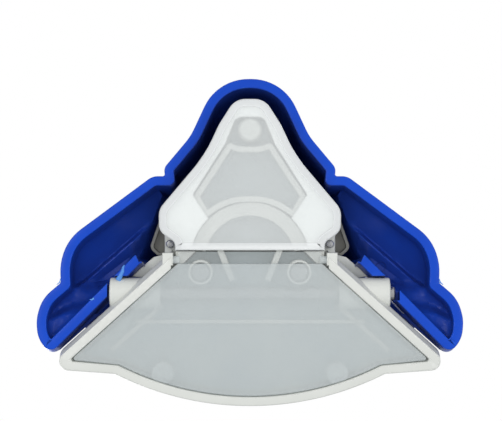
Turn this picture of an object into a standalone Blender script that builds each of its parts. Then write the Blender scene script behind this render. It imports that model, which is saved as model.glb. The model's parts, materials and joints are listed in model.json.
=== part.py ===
"""A lever corner rounder for half-inch corners, in metres, +Z up, nose at +Y, paper side at -Y.

The white base is a fan shaped tray with its paper table on top. A winged press handle turns on the
base's two side bosses and pushes a spring-loaded punch down through a steel die plate. Cut chips fall
into the frosted nose cover and chip door underneath.
"""
import math

import bmesh
import bpy
from mathutils import Matrix, Vector
from mathutils.geometry import delaunay_2d_cdt

MM = 0.001
GAP = 0.3 * MM

# Driving dimensions of the whole tool
TABLE_Z = 14.0 * MM           # paper table
DECK_UNDER_Z = 12.0 * MM
WALL = 2.3 * MM
FAN_SLOPE = 1.111              # the tray's diagonals run x = FAN_EDGE - FAN_SLOPE * y
FAN_EDGE = 15.2                # in millimetres, on the face that stands on the table
FAN_LEAN = 1.495               # sideways shift of a diagonal for each millimetre of inset
FLAT_Y = -31.7                 # short straight front edge beside each tip
FRONT_ARC_R = 73.16 * MM       # curved paper edge of the base
FRONT_ARC_Y = 32.8 * MM
CUT_R = 12.7 * MM             # radius that the tool cuts
CUT_ARC_Y = -1.14 * MM        # centre of that radius

# Handle: designed level, as when pressed, and tilted up by REST_TILT at rest
AXLE_Y = -13.0 * MM
AXLE_Z = 6.5 * MM
AXLE_R = 1.7 * MM
BOSS_R = 3.85 * MM
BOSS_END_X = 34.8 * MM
REST_TILT = math.radians(9.0)
RIM_Z = 3.5 * MM
SHELL_WALL = 2.4 * MM
SHELL_ROOF = 2.2 * MM
EDGE_ROUND = 5.0 * MM
HUMP_Z = 42.0 * MM
HUMP_HALF = 19.9 * MM         # half the raised middle's width behind the waist
HUMP_FLARE = 0.40             # how it widens towards the front
HUMP_FLARE_Y = 14.0 * MM
HUMP_STEP = 3.4 * MM
WING_Z = 22.0 * MM
WING_EDGE_Z = 12.0 * MM
WING_BEVEL = 10.7 * MM        # width of the sloped band along a wing's outer edge
LOBE_Z = 14.5 * MM
FRONT_RIM_Z = 18.0 * MM       # underside of the front edge, over the paper table
FRONT_RIM_X = 26.2 * MM
GUARD_Z = 17.8 * MM           # underside of the strips that cover the gap beside the tray
GUARD_THICK = 1.8 * MM

# Punch
SHOE_Y = 11.0 * MM
SHOE_Z = 31.2 * MM
SPRING_X = 14.4 * MM
SPRING_Y = 11.0 * MM
SPRING_R = 1.9 * MM
SPRING_WIRE_R = 0.35 * MM
SPRING_TURNS = 5.5

# Fixings
NOSE_SCREW_Y = 27.3 * MM
DIE_SCREW_X = 12.1 * MM
DIE_SCREW_Y = -7.7 * MM
SCREW_BORE_R = 1.55 * MM
POST_R = 3.0 * MM
POST_Z = 4.6 * MM             # lower end of the screw posts
STUD_X = 21.4 * MM            # snap studs of the chip door
STUD_Y = -32.5 * MM
RIVET_X = 19.9 * MM
RIVET_Y = -0.9 * MM
RIVET_BORE_R = 1.3 * MM

# Chip door
DOOR_INSET = 2.6              # from the tray's outer face, in millimetres
DOOR_HINGE_Y = -4.6 * MM
DOOR_HINGE_Z = 1.6 * MM

COLOURS = {
    "blue": ((0.010, 0.052, 0.420), 0.32, 0.0),
    "white": ((0.800, 0.810, 0.780), 0.42, 0.0),
    "frosted": ((0.620, 0.680, 0.680), 0.50, 0.0),
    "grey": ((0.200, 0.200, 0.190), 0.50, 0.0),
    "steel": ((0.560, 0.560, 0.560), 0.28, 1.0),
    "black": ((0.030, 0.030, 0.032), 0.50, 0.0),
}


# ---------------------------------------------------------------- helpers
def clear_scene():
    for obj in list(bpy.data.objects):
        bpy.data.objects.remove(obj)


def material(node, colour):
    base, rough, metal = COLOURS[colour]
    mat = bpy.data.materials.new(node + "_finish")
    mat.use_nodes = True
    shader = mat.node_tree.nodes["Principled BSDF"]
    shader.inputs["Base Color"].default_value = (*base, 1.0)
    shader.inputs["Roughness"].default_value = rough
    shader.inputs["Metallic"].default_value = metal
    return mat


def add(name, bm, colour=None, parent=None, origin=(0, 0, 0), smooth=35.0):
    """Make an object of a bmesh that is drawn in the parent's level frame, with its own origin."""
    bmesh.ops.recalc_face_normals(bm, faces=bm.faces)
    bmesh.ops.translate(bm, verts=bm.verts, vec=-Vector(origin))
    mesh = bpy.data.meshes.new(name)
    bm.to_mesh(mesh)
    bm.free()
    mesh.shade_smooth()
    mesh.set_sharp_from_angle(angle=math.radians(smooth))
    obj = bpy.data.objects.new(name, mesh)
    bpy.context.collection.objects.link(obj)
    obj.location = origin
    if colour:
        mesh.materials.append(material(name, colour))
    if parent:
        obj.parent = parent
        obj.location = Vector(origin) - PIVOTS[parent.name]
    return obj


def tool(obj):
    obj.hide_render = True
    obj.display_type = "WIRE"
    return obj


def boolean(target, operation, tools):
    for other in tools:
        tool(other)
        mod = target.modifiers.new(other.name, "BOOLEAN")
        mod.operation = operation
        mod.solver = "EXACT"
        mod.object = other


def arc(centre, radius, start, end, steps):
    """Points on an arc, angles in degrees."""
    points = []
    for i in range(steps + 1):
        a = math.radians(start + (end - start) * i / steps)
        points.append((centre[0] + radius * math.cos(a), centre[1] + radius * math.sin(a)))
    return points


def rounded(corners, step=15.0):
    """An open path through (x, y, radius) corners in millimetres, rounded at each inner corner."""
    path = [Vector((x * MM, y * MM)) for x, y, _ in corners]
    out = [path[0]]
    for i in range(1, len(path) - 1):
        here = path[i]
        before = (path[i - 1] - here).normalized()
        after = (path[i + 1] - here).normalized()
        radius = corners[i][2] * MM
        turn = math.pi - before.angle(after)
        if radius == 0 or turn < 0.01:
            out.append(here)
            continue
        reach = radius * math.tan(turn / 2)
        centre = here + (before + after).normalized() * radius / math.cos(turn / 2)
        first = here + before * reach - centre
        last = here + after * reach - centre
        swing = first.angle_signed(last)
        count = max(2, math.ceil(math.degrees(abs(swing)) / step))
        for k in range(count + 1):
            c, s = math.cos(swing * k / count), math.sin(swing * k / count)
            out.append(centre + Vector((first.x * c + first.y * s, first.y * c - first.x * s)))
    out.append(path[-1])
    return [(p.x, p.y) for p in out]


def mirrored(half):
    """Close a right-hand half path, which starts and ends at x = 0, with its mirror image."""
    left = [(-x, y) for x, y in reversed(half) if x > 1e-7]
    return half + left


def offset(loop, distance):
    """Move a closed loop inwards, with mitred corners."""
    area = sum(a[0] * b[1] - b[0] * a[1] for a, b in zip(loop, loop[1:] + loop[:1]))
    side = 1.0 if area > 0 else -1.0
    out = []
    for before, here, after in zip(loop[-1:] + loop[:-1], loop, loop[1:] + loop[:1]):
        d1 = (Vector(here) - Vector(before)).normalized()
        d2 = (Vector(after) - Vector(here)).normalized()
        normal = Vector((-d1.y - d2.y, d1.x + d2.x)).normalized() * side
        lean = max(0.5, normal.dot(Vector((-d1.y, d1.x)) * side))
        out.append((here[0] + normal.x * distance / lean, here[1] + normal.y * distance / lean))
    return out


def slab(loops, z0, z1):
    """A flat plate between two heights. The first loop is its outline, the others are holes."""
    bm = bmesh.new()
    low, edges = [], []
    for loop in loops:
        ring = [bm.verts.new((x, y, z0)) for x, y in loop]
        low.append(ring)
        edges += [bm.edges.new((a, b)) for a, b in zip(ring, ring[1:] + ring[:1])]
    bmesh.ops.triangle_fill(bm, use_beauty=True, edges=edges)
    faces = list(bm.faces)
    top = {v: bm.verts.new((v.co.x, v.co.y, z1)) for v in list(bm.verts)}
    for face in faces:
        bm.faces.new([top[v] for v in reversed(face.verts)])
    for ring in low:
        for a, b in zip(ring, ring[1:] + ring[:1]):
            bm.faces.new((a, b, top[b], top[a]))
    return bm


def strip(path, thickness, z0, z1):
    """A wall of one thickness along an open path."""
    points = [Vector(p) for p in path]
    left, right = [], []
    for i, here in enumerate(points):
        d1 = (here - points[max(i - 1, 0)]).normalized()
        d2 = (points[min(i + 1, len(points) - 1)] - here).normalized()
        along = (d1 + d2).normalized()
        side = Vector((-along.y, along.x))
        edge = d2 if d2.length else d1
        lean = max(0.5, side.dot(Vector((-edge.y, edge.x))))
        left.append(here + side * thickness / 2 / lean)
        right.append(here - side * thickness / 2 / lean)
    return slab([[tuple(p) for p in left + right[::-1]]], z0, z1)


def turned(profile, centre=(0, 0, 0), axis="Z", segments=24):
    """A solid turned from (radius, height) points, listed from its lower end to its upper end."""
    bm = bmesh.new()
    rings = []
    for radius, height in profile:
        if radius < 1e-9:
            rings.append([bm.verts.new((0, 0, height))])
            continue
        ring = []
        for i in range(segments):
            a = 2 * math.pi * i / segments
            ring.append(bm.verts.new((radius * math.cos(a), radius * math.sin(a), height)))
        rings.append(ring)
    for lower, upper in zip(rings, rings[1:]):
        for i in range(segments):
            j = (i + 1) % segments
            if len(lower) == 1:
                bm.faces.new((lower[0], upper[j], upper[i]))
            elif len(upper) == 1:
                bm.faces.new((lower[i], lower[j], upper[0]))
            else:
                bm.faces.new((lower[i], lower[j], upper[j], upper[i]))
    for ring in (rings[0], rings[-1]):
        if len(ring) > 1:
            bm.faces.new(ring)
    if axis == "X":
        bmesh.ops.rotate(bm, verts=bm.verts, matrix=Matrix.Rotation(math.pi / 2, 3, "Y"))
    bmesh.ops.translate(bm, verts=bm.verts, vec=centre)
    return bm


def post(radius, z0, z1, x, y, chamfer=0.0, segments=20):
    """An upright round post, chamfered at its lower end."""
    profile = [(radius, z0 + chamfer), (radius, z1)]
    if chamfer:
        profile.insert(0, (radius - chamfer, z0))
    return turned(profile, (x, y, 0), segments=segments)


def box(x0, x1, y0, y1, z0, z1):
    return slab([[(x0, y0), (x1, y0), (x1, y1), (x0, y1)]], z0, z1)


def side_name(side):
    return "right" if side > 0 else "left"


# ---------------------------------------------------------------- outlines
def front_arc(radius, x_end, steps=14):
    """The curved front edge, from +x_end to the middle."""
    start = -math.degrees(math.acos(x_end / radius))
    return arc((0.0, FRONT_ARC_Y), radius, start, -90.0, steps)


def fan_path(inset):
    """Right half of the tray wall's face: down the diagonal, round the tip, along the arc."""
    edge = FAN_EDGE - FAN_LEAN * inset
    start_x = 19.3
    flat_y = FLAT_Y + inset
    flat_x = 33.0 - 0.4 * inset
    tip = rounded([
        (start_x, (edge - start_x) / FAN_SLOPE, 0),
        (edge - FAN_SLOPE * flat_y, flat_y, 2.3 if inset < 1 else 0.4),
        (flat_x, flat_y, 0),
    ])
    return tip[:-1] + front_arc(FRONT_ARC_R - inset * MM, flat_x * MM)


# Right halves of outlines in millimetres: x, y, corner radius, and which way the corner bulges
NOSE_CORNERS = (
    (0, 34.7, 0, "out"),
    (3.6, 34.7, 4.5, "out"),
    (7.6, 28.4, 9, "out"),
    (10.2, 22.8, 25, "in"),
    (12.9, 18.8, 30, "in"),
    (22.3, 7.7, 4.5, "out"),
    (22.2, 2.4, 3, "out"),
    (18.3, -0.3, 2, "in"),
    (18.3, -2.3, 0, "out"),
    (0, -2.3, 0, "out"),
)
HANDLE_CORNERS = (
    (0, 40.55, 0, "out"),
    (8.15, 40.55, 12, "out"),
    (14.75, 26.0, 14, "in"),
    (21.3, 18.0, 1.6, "out"),
    (21.1, 15.9, 0.5, "in"),
    (24.15, 15.9, 1.8, "out"),
    (44.6, 0.3, 5, "out"),
    (46.7, -6.0, 8, "out"),
    (46.5, -10.7, 0.8, "in"),
    (50.8, -14.7, 6, "out"),
    (52.35, -19.6, 6, "out"),
    (51.9, -24.6, 3.4, "out"),
    (48.8, -28.2, 2.6, "out"),
    (26.9, -5.8, 0.8, "in"),
    (25.6, -5.9, 0, "in"),
    (24.2, -6.0, 0, "in"),
    (12.0, -7.6, 20, "out"),
    (0, -7.6, 0, "out"),
)


def refit(corners, inset, step=15.0):
    """Right half of a symmetric outline moved inwards, its corner radii fitted to the move."""
    moved = offset(mirrored([(x, y) for x, y, _, _ in corners]), inset)
    path = []
    for (x, y), (_, _, radius, bulge) in zip(moved, corners):
        fitted = max(0.3, radius - inset) if bulge == "out" else radius + 0.4 * inset
        path.append((x, y, fitted if radius else 0))
    return rounded(path, step)


def nose_outline(inset, neck_y):
    """The nose down to its neck, closed by a straight edge at neck_y, all in millimetres."""
    path = [p for p in refit(NOSE_CORNERS, inset)[:-2] if p[1] > neck_y * MM]
    return mirrored(path + [(path[-1][0], neck_y * MM), (0.0, neck_y * MM)])


def deck_outline():
    """The paper table with its nose end. It overhangs the tray's diagonals a little."""
    overhang = 1.5
    tip_y = FLAT_Y + 0.3
    side_x = 21.3
    edge = FAN_EDGE + overhang
    path = [(x, y, radius) for x, y, radius, _ in NOSE_CORNERS[:6]]
    path = [(max(0.0, x - 0.3), y - 0.4 if y > 30 else y, radius) for x, y, radius in path]
    side = rounded(path + [
        (side_x, 0.5, 2),
        (side_x, (edge - side_x) / FAN_SLOPE, 1),
        (edge - FAN_SLOPE * tip_y, tip_y, 3.4),
        (43.0, FLAT_Y, 0),
        (33.0, FLAT_Y, 0),
    ])
    return mirrored(side[:-1] + front_arc(FRONT_ARC_R, 33.0 * MM))


def blade_outline(grow):
    """The punch: a concave cutting arc, sides that flare, and a tail towards the nose."""
    g = grow * MM
    radius = CUT_R - g
    half_angle = 45.0
    cut = arc((0.0, CUT_ARC_Y), radius, 90.0, 90.0 - half_angle, 8)
    rest = [(9.8 * MM + g, 8.6 * MM - g / 2), (10.8 * MM + g, 11.2 * MM), (4.4 * MM + g, 21.8 * MM + g)]
    right = cut + rest
    left = [(-x, y) for x, y in reversed(right[1:])]
    return right + left


# ---------------------------------------------------------------- base
def mirror_x(bm, side):
    """Flip a form drawn on the right to the left, where side is -1."""
    if side < 0:
        bmesh.ops.scale(bm, vec=(-1, 1, 1), verts=bm.verts)
    return bm


def base_side_forms(side):
    """The forms that the base has on each side, in pairs of a name and a mesh."""
    name = side_name(side)
    top = DECK_UNDER_Z + 0.2 * MM
    boss_start = 22.0 * MM
    reach = BOSS_END_X - boss_start
    crown = [(BOSS_R, 0.0), (BOSS_R, reach - 0.5 * MM), (BOSS_R - 0.5 * MM, reach)]
    boss = mirror_x(turned(crown, (boss_start, AXLE_Y, AXLE_Z), "X", 28), side)
    guide_line = paper_corner_y() / MM + 0.45
    guide = [(side * x * MM, (guide_line - x) * MM) for x in (23.0, 45.0)]
    vee = [(side * 7.5 * MM, -2.7 * MM), (side * 4.3 * MM, -9.8 * MM)]
    band = [(side * 21.8 * MM, -16.0 * MM), (side * 34.6 * MM, -27.5 * MM)]
    lug = box(side * 18.8 * MM, side * 21.4 * MM, -6.0 * MM, -2.9 * MM, 0.2 * MM, 5.0 * MM)
    return [
        ("boss_" + name, boss),
        ("paper_guide_" + name, strip(guide, 0.6 * MM, DECK_UNDER_Z + 1 * MM, TABLE_Z + 1.3 * MM)),
        ("vee_rib_" + name, strip(vee, 1.3 * MM, 4.2 * MM, top)),
        ("inner_rib_" + name, strip(band, 1.2 * MM, 5.2 * MM, top)),
        ("hinge_lug_" + name, lug),
        ("die_post_" + name, post(POST_R, POST_Z, top, side * DIE_SCREW_X, DIE_SCREW_Y)),
        ("stud_socket_" + name, post(2.7 * MM, 5.0 * MM, top, side * STUD_X, STUD_Y)),
    ]


def base_side_cuts(side):
    name = side_name(side)
    hinge = turned([(1.3 * MM, 0.0), (1.3 * MM, 2.4 * MM)], (18.0 * MM, DOOR_HINGE_Y, DOOR_HINGE_Z), "X", 16)
    return [
        ("die_bore_" + name, post(SCREW_BORE_R, 0.0, 16 * MM, side * DIE_SCREW_X, DIE_SCREW_Y)),
        ("stud_bore_" + name, post(1.9 * MM, 4.0 * MM, 10.5 * MM, side * STUD_X, STUD_Y)),
        ("rivet_bore_" + name, post(RIVET_BORE_R, 8.0 * MM, 16 * MM, side * RIVET_X, RIVET_Y)),
        ("hinge_bore_" + name, mirror_x(hinge, side)),
    ]


def build_base():
    outer = fan_path(0.08)
    inner = fan_path(WALL / MM)
    top = DECK_UNDER_Z + 0.2 * MM
    ring = outer + [(-x, y) for x, y in reversed(outer[:-1])]
    back = inner + [(-x, y) for x, y in reversed(inner[:-1])]
    base = add("base_frame", slab([ring + back[::-1]], 0.0, top), "white")
    web = nose_outline(1.8, 0.4)
    parts = [
        ("deck", slab([deck_outline(), blade_outline(0.35)], DECK_UNDER_Z, TABLE_Z)),
        ("nose_wall", slab([web, mirrored(nose_web_half())], 3.2 * MM, top)),
        ("chute", slab([blade_outline(2.3), blade_outline(0.6)], 4.2 * MM, top)),
        ("cross_rib", box(-28.7 * MM, 28.7 * MM, -20.7 * MM, -19.7 * MM, 8.0 * MM, top)),
        ("nose_post", post(POST_R, POST_Z, top, 0.0, NOSE_SCREW_Y)),
    ]
    bore_end = 40 * MM
    axle = turned([(AXLE_R + GAP, -bore_end), (AXLE_R + GAP, bore_end)], (0, AXLE_Y, AXLE_Z), "X", 20)
    cuts = [
        ("axle_bore", axle),
        ("nose_bore", post(SCREW_BORE_R, 0.0, 16 * MM, 0.0, NOSE_SCREW_Y)),
        ("die_seat", slab([die_outline(GAP)], TABLE_Z - 1.1 * MM, TABLE_Z + 1 * MM)),
    ]
    for side in (1, -1):
        parts += base_side_forms(side)
        cuts += base_side_cuts(side)
    boolean(base, "UNION", [add("form_" + name, bm) for name, bm in parts])
    boolean(base, "DIFFERENCE", [add("cutter_" + name, bm) for name, bm in cuts])
    return base


def paper_corner_y():
    """Where the corner of a square sheet comes to rest, tangent to the cutting arc on both edges."""
    return CUT_ARC_Y + CUT_R * math.sqrt(2)


def nose_web_half():
    """The open middle of the thick wall that the nose cover closes against."""
    return rounded([
        (0, 30.6, 0),
        (4.0, 30.6, 3),
        (8.2, 22.0, 4),
        (15.6, 10.6, 3),
        (15.0, 3.4, 2),
        (0, 3.4, 0),
    ])


def die_outline(grow):
    """The steel die plate: from the nose to just past its two screws, wide at the cutting edge."""
    k = grow / MM
    return mirrored(rounded([
        (0, 24.4 + k, 0),
        (6.6 + k, 24.4 + k, 1.5),
        (15.4 + k, 9.0, 2),
        (15.9 + k, -6.0, 2),
        (12.1, -11.6 - k, 3),
        (0, -11.6 - k, 0),
    ]))


def build_screw(name, x, y, top):
    """A pan head screw, head down, with a cross recess."""
    head = [(2.0, 2.9), (2.25, 3.15), (2.25, 4.0), (1.95, 4.3), (1.2, 4.3), (1.2, top - 0.6), (0.7, top)]
    screw = add(name, turned([(r * MM, z * MM) for r, z in head], (x, y, 0), segments=20), "steel")
    long, short = 1.4 * MM, 0.3 * MM
    slots = []
    for i, (dx, dy) in enumerate(((long, short), (short, long))):
        slot = box(x - dx, x + dx, y - dy, y + dy, 2.5 * MM, 3.5 * MM)
        slots.append(add("cutter_%s_%d" % (name, i), slot))
    boolean(screw, "DIFFERENCE", slots)


def build_fixed_pieces():
    closed_end, open_end = -34.4 * MM, 35.9 * MM
    ends = [
        (AXLE_R - 0.3 * MM, closed_end),
        (AXLE_R, closed_end + 0.3 * MM),
        (AXLE_R, open_end - 0.4 * MM),
        (AXLE_R - 0.4 * MM, open_end),
    ]
    pin = mirror_x(turned(ends, (0, AXLE_Y, AXLE_Z), "X", 20), -1)
    add("axle_pin", pin, "steel", origin=(0, AXLE_Y, AXLE_Z))

    die_hole = blade_outline(GAP / MM)
    add("die_plate", slab([die_outline(0.0), die_hole], TABLE_Z - 0.8 * MM, TABLE_Z), "steel")

    guard = mirrored(rounded([(0, 23.8, 0), (6.4, 23.8, 1.5), (14.6, 9.4, 2), (16.6, -2.4, 1), (0, -2.4, 0)]))
    guard_z = TABLE_Z + 1.5 * MM
    add("stripper_plate", slab([guard, blade_outline(GAP / MM)], guard_z, guard_z + 0.9 * MM), "steel")

    build_screw("nose_screw", 0.0, NOSE_SCREW_Y, 21.0)
    build_screw("die_screw_right", DIE_SCREW_X, DIE_SCREW_Y, 12.7)
    build_screw("die_screw_left", -DIE_SCREW_X, DIE_SCREW_Y, 12.7)

    for side in (1, -1):
        profile = [(1.0, 10.0), (1.0, 18.8), (1.7, 18.9), (1.5, 19.4), (0.9, 19.6)]
        rivet = turned([(r * MM, z * MM) for r, z in profile], (side * RIVET_X, RIVET_Y, 0), segments=20)
        add("housing_rivet_" + side_name(side), rivet, "steel")


# ---------------------------------------------------------------- covers
def build_nose_cover():
    cover = add("nose_cover", slab([nose_outline(0.0, -2.3)], 0.4 * MM, 11.6 * MM), "frosted")
    hollow = slab([nose_outline(1.5, -6.0)], 1.7 * MM, 14 * MM)
    boolean(cover, "DIFFERENCE", [add("cutter_nose_hollow", hollow)])
    return cover


def door_half(inset):
    """Right half of the chip door: its hinge end, the diagonal, the tip and the arc."""
    total = DOOR_INSET + inset
    edge = FAN_EDGE - FAN_LEAN * total
    flat_y = FLAT_Y + total
    side_x = 18.0 - inset
    arc_x = 32.0 - inset
    side = rounded([
        (0, -3.0 - inset, 0),
        (side_x, -3.0 - inset, 0),
        (side_x, (edge - side_x) / FAN_SLOPE, 0.5),
        (edge - FAN_SLOPE * flat_y, flat_y, 1.6),
        (arc_x, flat_y, 0),
    ])
    return side[:-1] + front_arc(FRONT_ARC_R - total * MM, arc_x * MM)


def build_door(pivot):
    panel = slab([mirrored(door_half(0.0))], 0.4 * MM, 2.4 * MM)
    door = add("chip_door", panel, "frosted", pivot, origin=(0, DOOR_HINGE_Y, DOOR_HINGE_Z))
    hollow = add("cutter_door_hollow", slab([mirrored(door_half(1.2))], 1.55 * MM, 5 * MM), parent=pivot)
    extras = []
    for side in (1, -1):
        name = side_name(side)
        stud = [(1.5, 1.2), (1.5, 5.6), (1.35, 5.8), (1.35, 6.6), (1.5, 6.8), (1.2, 7.6)]
        stud = turned([(r * MM, z * MM) for r, z in stud], (side * STUD_X, STUD_Y, 0), segments=20)
        extras.append(add("form_stud_" + name, stud, parent=pivot))
        ends = [(1.0 * MM, 0.0), (1.0 * MM, 2.9 * MM)]
        trunnion = mirror_x(turned(ends, (17.2 * MM, DOOR_HINGE_Y, DOOR_HINGE_Z), "X", 16), side)
        extras.append(add("form_trunnion_" + name, trunnion, parent=pivot))
    boolean(door, "DIFFERENCE", [hollow])
    boolean(door, "UNION", extras)
    return door


# ---------------------------------------------------------------- punch
def housing_outline():
    return mirrored(rounded([
        (0, 31.4, 0),
        (5.0, 31.4, 4),
        (11.9, 18.6, 4),
        (17.9, 11.6, 2),
        (17.9, -2.2, 1.5),
        (0, -2.2, 0),
    ]))


def foot_outline(side):
    """A housing foot outside the paper's 45 degree edge, with a long leaf shape."""
    path = rounded([(16.2, 6.6, 0), (22.0, 7.2, 2.5), (25.2, -2.0, 1.8), (22.6, -4.4, 1.6), (17.6, -1.2, 0)])
    return [(side * x, y) for x, y in path]


def build_housing():
    top = 26.0 * MM
    over = 30.0 * MM          # cutters end above the housing
    foot_z = 14.3 * MM
    housing = add("punch_housing", slab([housing_outline()], 16.7 * MM, top), "grey")
    feet = []
    cuts = []
    for side in (1, -1):
        name = side_name(side)
        x = side * SPRING_X
        feet.append(add("form_foot_" + name, slab([foot_outline(side)], foot_z, 16.9 * MM)))
        pocket = [p for p in offset(foot_outline(side), 1.1 * MM) if abs(p[0]) > 21.5 * MM]
        cuts.append(("foot_" + name, slab([pocket], 13.0 * MM, 15.7 * MM)))
        cuts.append(("rivet_" + name, post(RIVET_BORE_R, 12 * MM, over, side * RIVET_X, RIVET_Y)))
        cuts.append(("spring_well_" + name, post(SPRING_R + 0.7 * MM, 18.3 * MM, over, x, SPRING_Y)))
        cuts.append(("pin_seat_" + name, post(1.1 * MM, 16 * MM, 19 * MM, x, SPRING_Y)))
    paper_y = paper_corner_y() + GAP
    paper_x = 23.0 * MM
    paper = mirrored([(0.0, paper_y), (paper_x, paper_y - paper_x), (0.0, -6.2 * MM)])
    reach = SPRING_X + 2.4 * MM
    cuts += [
        ("paper", slab([paper], 13.0 * MM, 15.8 * MM)),
        ("blade_way", slab([blade_outline(0.6)], 15.0 * MM, over)),
        ("arm_way", box(-reach, reach, 8.4 * MM, 13.6 * MM, 22.6 * MM, over)),
        ("holder_way", slab([holder_outline(0.6)], 22.0 * MM, over)),
        ("nose_thread", post(1.5 * MM, 12 * MM, 22 * MM, 0.0, NOSE_SCREW_Y)),
    ]
    boolean(housing, "UNION", feet)
    boolean(housing, "DIFFERENCE", [add("cutter_" + name, bm) for name, bm in cuts])
    return housing


def spring(name, x, y, z0, z1):
    """A compression coil, its wire a round tube along a helix."""
    curve = bpy.data.curves.new(name, "CURVE")
    curve.dimensions = "3D"
    curve.bevel_depth = SPRING_WIRE_R
    curve.bevel_resolution = 1
    curve.use_fill_caps = True
    per_turn = 14
    count = int(SPRING_TURNS * per_turn)
    line = curve.splines.new("POLY")
    line.points.add(count)
    for i in range(count + 1):
        a = 2 * math.pi * i / per_turn
        z = z0 + (z1 - z0) * i / count
        line.points[i].co = (SPRING_R * math.cos(a), SPRING_R * math.sin(a), z, 1)
    curve.materials.append(material(name, "steel"))
    obj = bpy.data.objects.new(name, curve)
    obj.location = (x, y, 0)
    bpy.context.collection.objects.link(obj)
    return obj


def holder_outline(grow):
    g = grow
    return mirrored(rounded([
        (0, 19.6 + g, 0),
        (4.6 + g, 19.6 + g, 1.0),
        (9.2 + g, 11.6, 1.0),
        (8.2 + g, 8.9 - g, 1.0),
        (0, 8.9 - g, 0),
    ]))


def build_guide(side):
    """A guide pin, fixed in the housing, with its return spring round it."""
    name = side_name(side)
    x = side * SPRING_X
    profile = [(0.6, 16.9), (0.8, 17.1), (0.8, 30.6), (0.5, 30.9)]
    pin = turned([(r * MM, z * MM) for r, z in profile], (x, SPRING_Y, 0), segments=16)
    add("guide_pin_" + name, pin, "steel")
    spring("return_spring_" + name, x, SPRING_Y, 19.05 * MM, 26.65 * MM)


def build_punch(pivot):
    """Drawn at rest: the blade waits just above the paper slot."""
    screw_y = 16.6 * MM
    arm_x = SPRING_X + 1.9 * MM
    add("punch_blade", slab([blade_outline(0.0)], 15.9 * MM, 25.6 * MM), "steel", pivot)
    holder = add("punch_holder", slab([holder_outline(0.0)], 25.9 * MM, 30.2 * MM), "black", pivot)
    arms = box(-arm_x, arm_x, 9.2 * MM, 12.9 * MM, 27.4 * MM, 29.4 * MM)
    boolean(holder, "UNION", [add("form_holder_arms", arms, parent=pivot)])
    low, high = 20 * MM, 40 * MM
    screw_bore = post(1.3 * MM, low, high, 0.0, screw_y, segments=22)
    bores = [add("cutter_screw_bore", screw_bore, parent=pivot)]
    for side in (1, -1):
        bore = post(1.1 * MM, low, high, side * SPRING_X, SPRING_Y)
        bores.append(add("cutter_guide_bore_" + side_name(side), bore, parent=pivot))
        build_guide(side)
    boolean(holder, "DIFFERENCE", bores)

    screw = [(1.0, 25.9), (1.0, 30.5), (2.1, 30.5), (2.1, 31.4), (1.5, 31.8)]
    screw = turned([(r * MM, z * MM) for r, z in screw], (0, screw_y, 0), segments=18)
    add("punch_screw", screw, "steel", pivot)

    wide = mirrored(rounded([(0, 13.4, 0), (4.2, 13.4, 1.2), (4.2, 4.2, 1.2), (0, 4.2, 0)]))
    return add("plunger_cap", slab([wide], 30.5 * MM, 34.35 * MM), "grey", pivot)


# ---------------------------------------------------------------- handle
WING_CORNER = (24.15 * MM, 15.9 * MM)     # where a wing's outer edge starts
WING_NORMAL = (0.614, 0.789)              # points out across that edge
LOBE_CENTRE = (44.2 * MM, -19.0 * MM)
EDGE_FALL = 0.6                           # height of the rounded shoulder over its width


def handle_outline(inset=0.0):
    """Seen from above: nose, waist, wings with their lobes, then the front edge over the table."""
    return mirrored(refit(HANDLE_CORNERS, inset / MM, step=18.0))


def smooth(t):
    t = min(1.0, max(0.0, t))
    return t * t * (3 - 2 * t)


def distance_to(loop, x, y):
    best = 1.0
    for (ax, ay), (bx, by) in zip(loop, loop[1:] + loop[:1]):
        dx, dy = bx - ax, by - ay
        t = ((x - ax) * dx + (y - ay) * dy) / (dx * dx + dy * dy)
        t = min(1.0, max(0.0, t))
        best = min(best, math.hypot(x - ax - t * dx, y - ay - t * dy))
    return best


def hump_half(y):
    return HUMP_HALF + HUMP_FLARE * max(0.0, HUMP_FLARE_Y - y)


def roof(x, y):
    """Height of the handle's outer surface, away from its rounded edge."""
    across = abs(x)
    hump = HUMP_Z - 0.011 / MM * (y - 10 * MM) ** 2 - 0.008 / MM * across ** 2
    bevel = (WING_CORNER[0] - across) * WING_NORMAL[0] + (WING_CORNER[1] - y) * WING_NORMAL[1]
    slope = (WING_Z - WING_EDGE_Z) / WING_BEVEL
    wing = min(WING_EDGE_Z + slope * bevel, WING_Z + 0.03 * (bevel - WING_BEVEL))
    lobe = LOBE_Z - 0.012 / MM * ((across - LOBE_CENTRE[0]) ** 2 + (y - LOBE_CENTRE[1]) ** 2)
    wing += (min(lobe, wing) - wing) * smooth((-8 * MM - y) / (6 * MM))
    blend = smooth((hump_half(y) - across) / HUMP_STEP + 0.5)
    return wing + (hump - wing) * blend


def surface(outline, height, thickness, rings):
    """Triangles over an outline, with rings of points near its edge for the rounded shoulder."""
    points = [Vector(p) for p in outline]
    edges = [(i, (i + 1) % len(points)) for i in range(len(points))]
    for depth in rings:
        for p in offset(outline, depth):
            if abs(distance_to(outline, *p) - depth) < 0.12 * depth:
                points.append(Vector(p))
    deep = rings[-1] * 1.25
    pitch = 3.0 * MM
    for i in range(-19, 20):
        for j in range(-12, 16):
            x, y = i * pitch, j * pitch
            if inside(outline, x, y) and distance_to(outline, x, y) > deep:
                points.append(Vector((x, y)))
    for side in (1, -1):
        for j in range(-2, 6):
            for shift in (-0.5, -0.2, 0.2, 0.5):
                y = j * pitch + 0.5 * MM
                p = (side * (hump_half(y) + shift * HUMP_STEP), y)
                if inside(outline, *p) and distance_to(outline, *p) > 0.6 * MM:
                    points.append(Vector(p))
    verts, _, faces, _, _, _ = delaunay_2d_cdt(points, edges, [], 1, 1e-7)
    return [(v.x, v.y, height(v.x, v.y, thickness)) for v in verts], faces


def inside(loop, x, y):
    hit = False
    for (ax, ay), (bx, by) in zip(loop, loop[1:] + loop[:1]):
        if (ay > y) != (by > y) and x < (bx - ax) * (y - ay) / (by - ay) + ax:
            hit = not hit
    return hit


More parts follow.
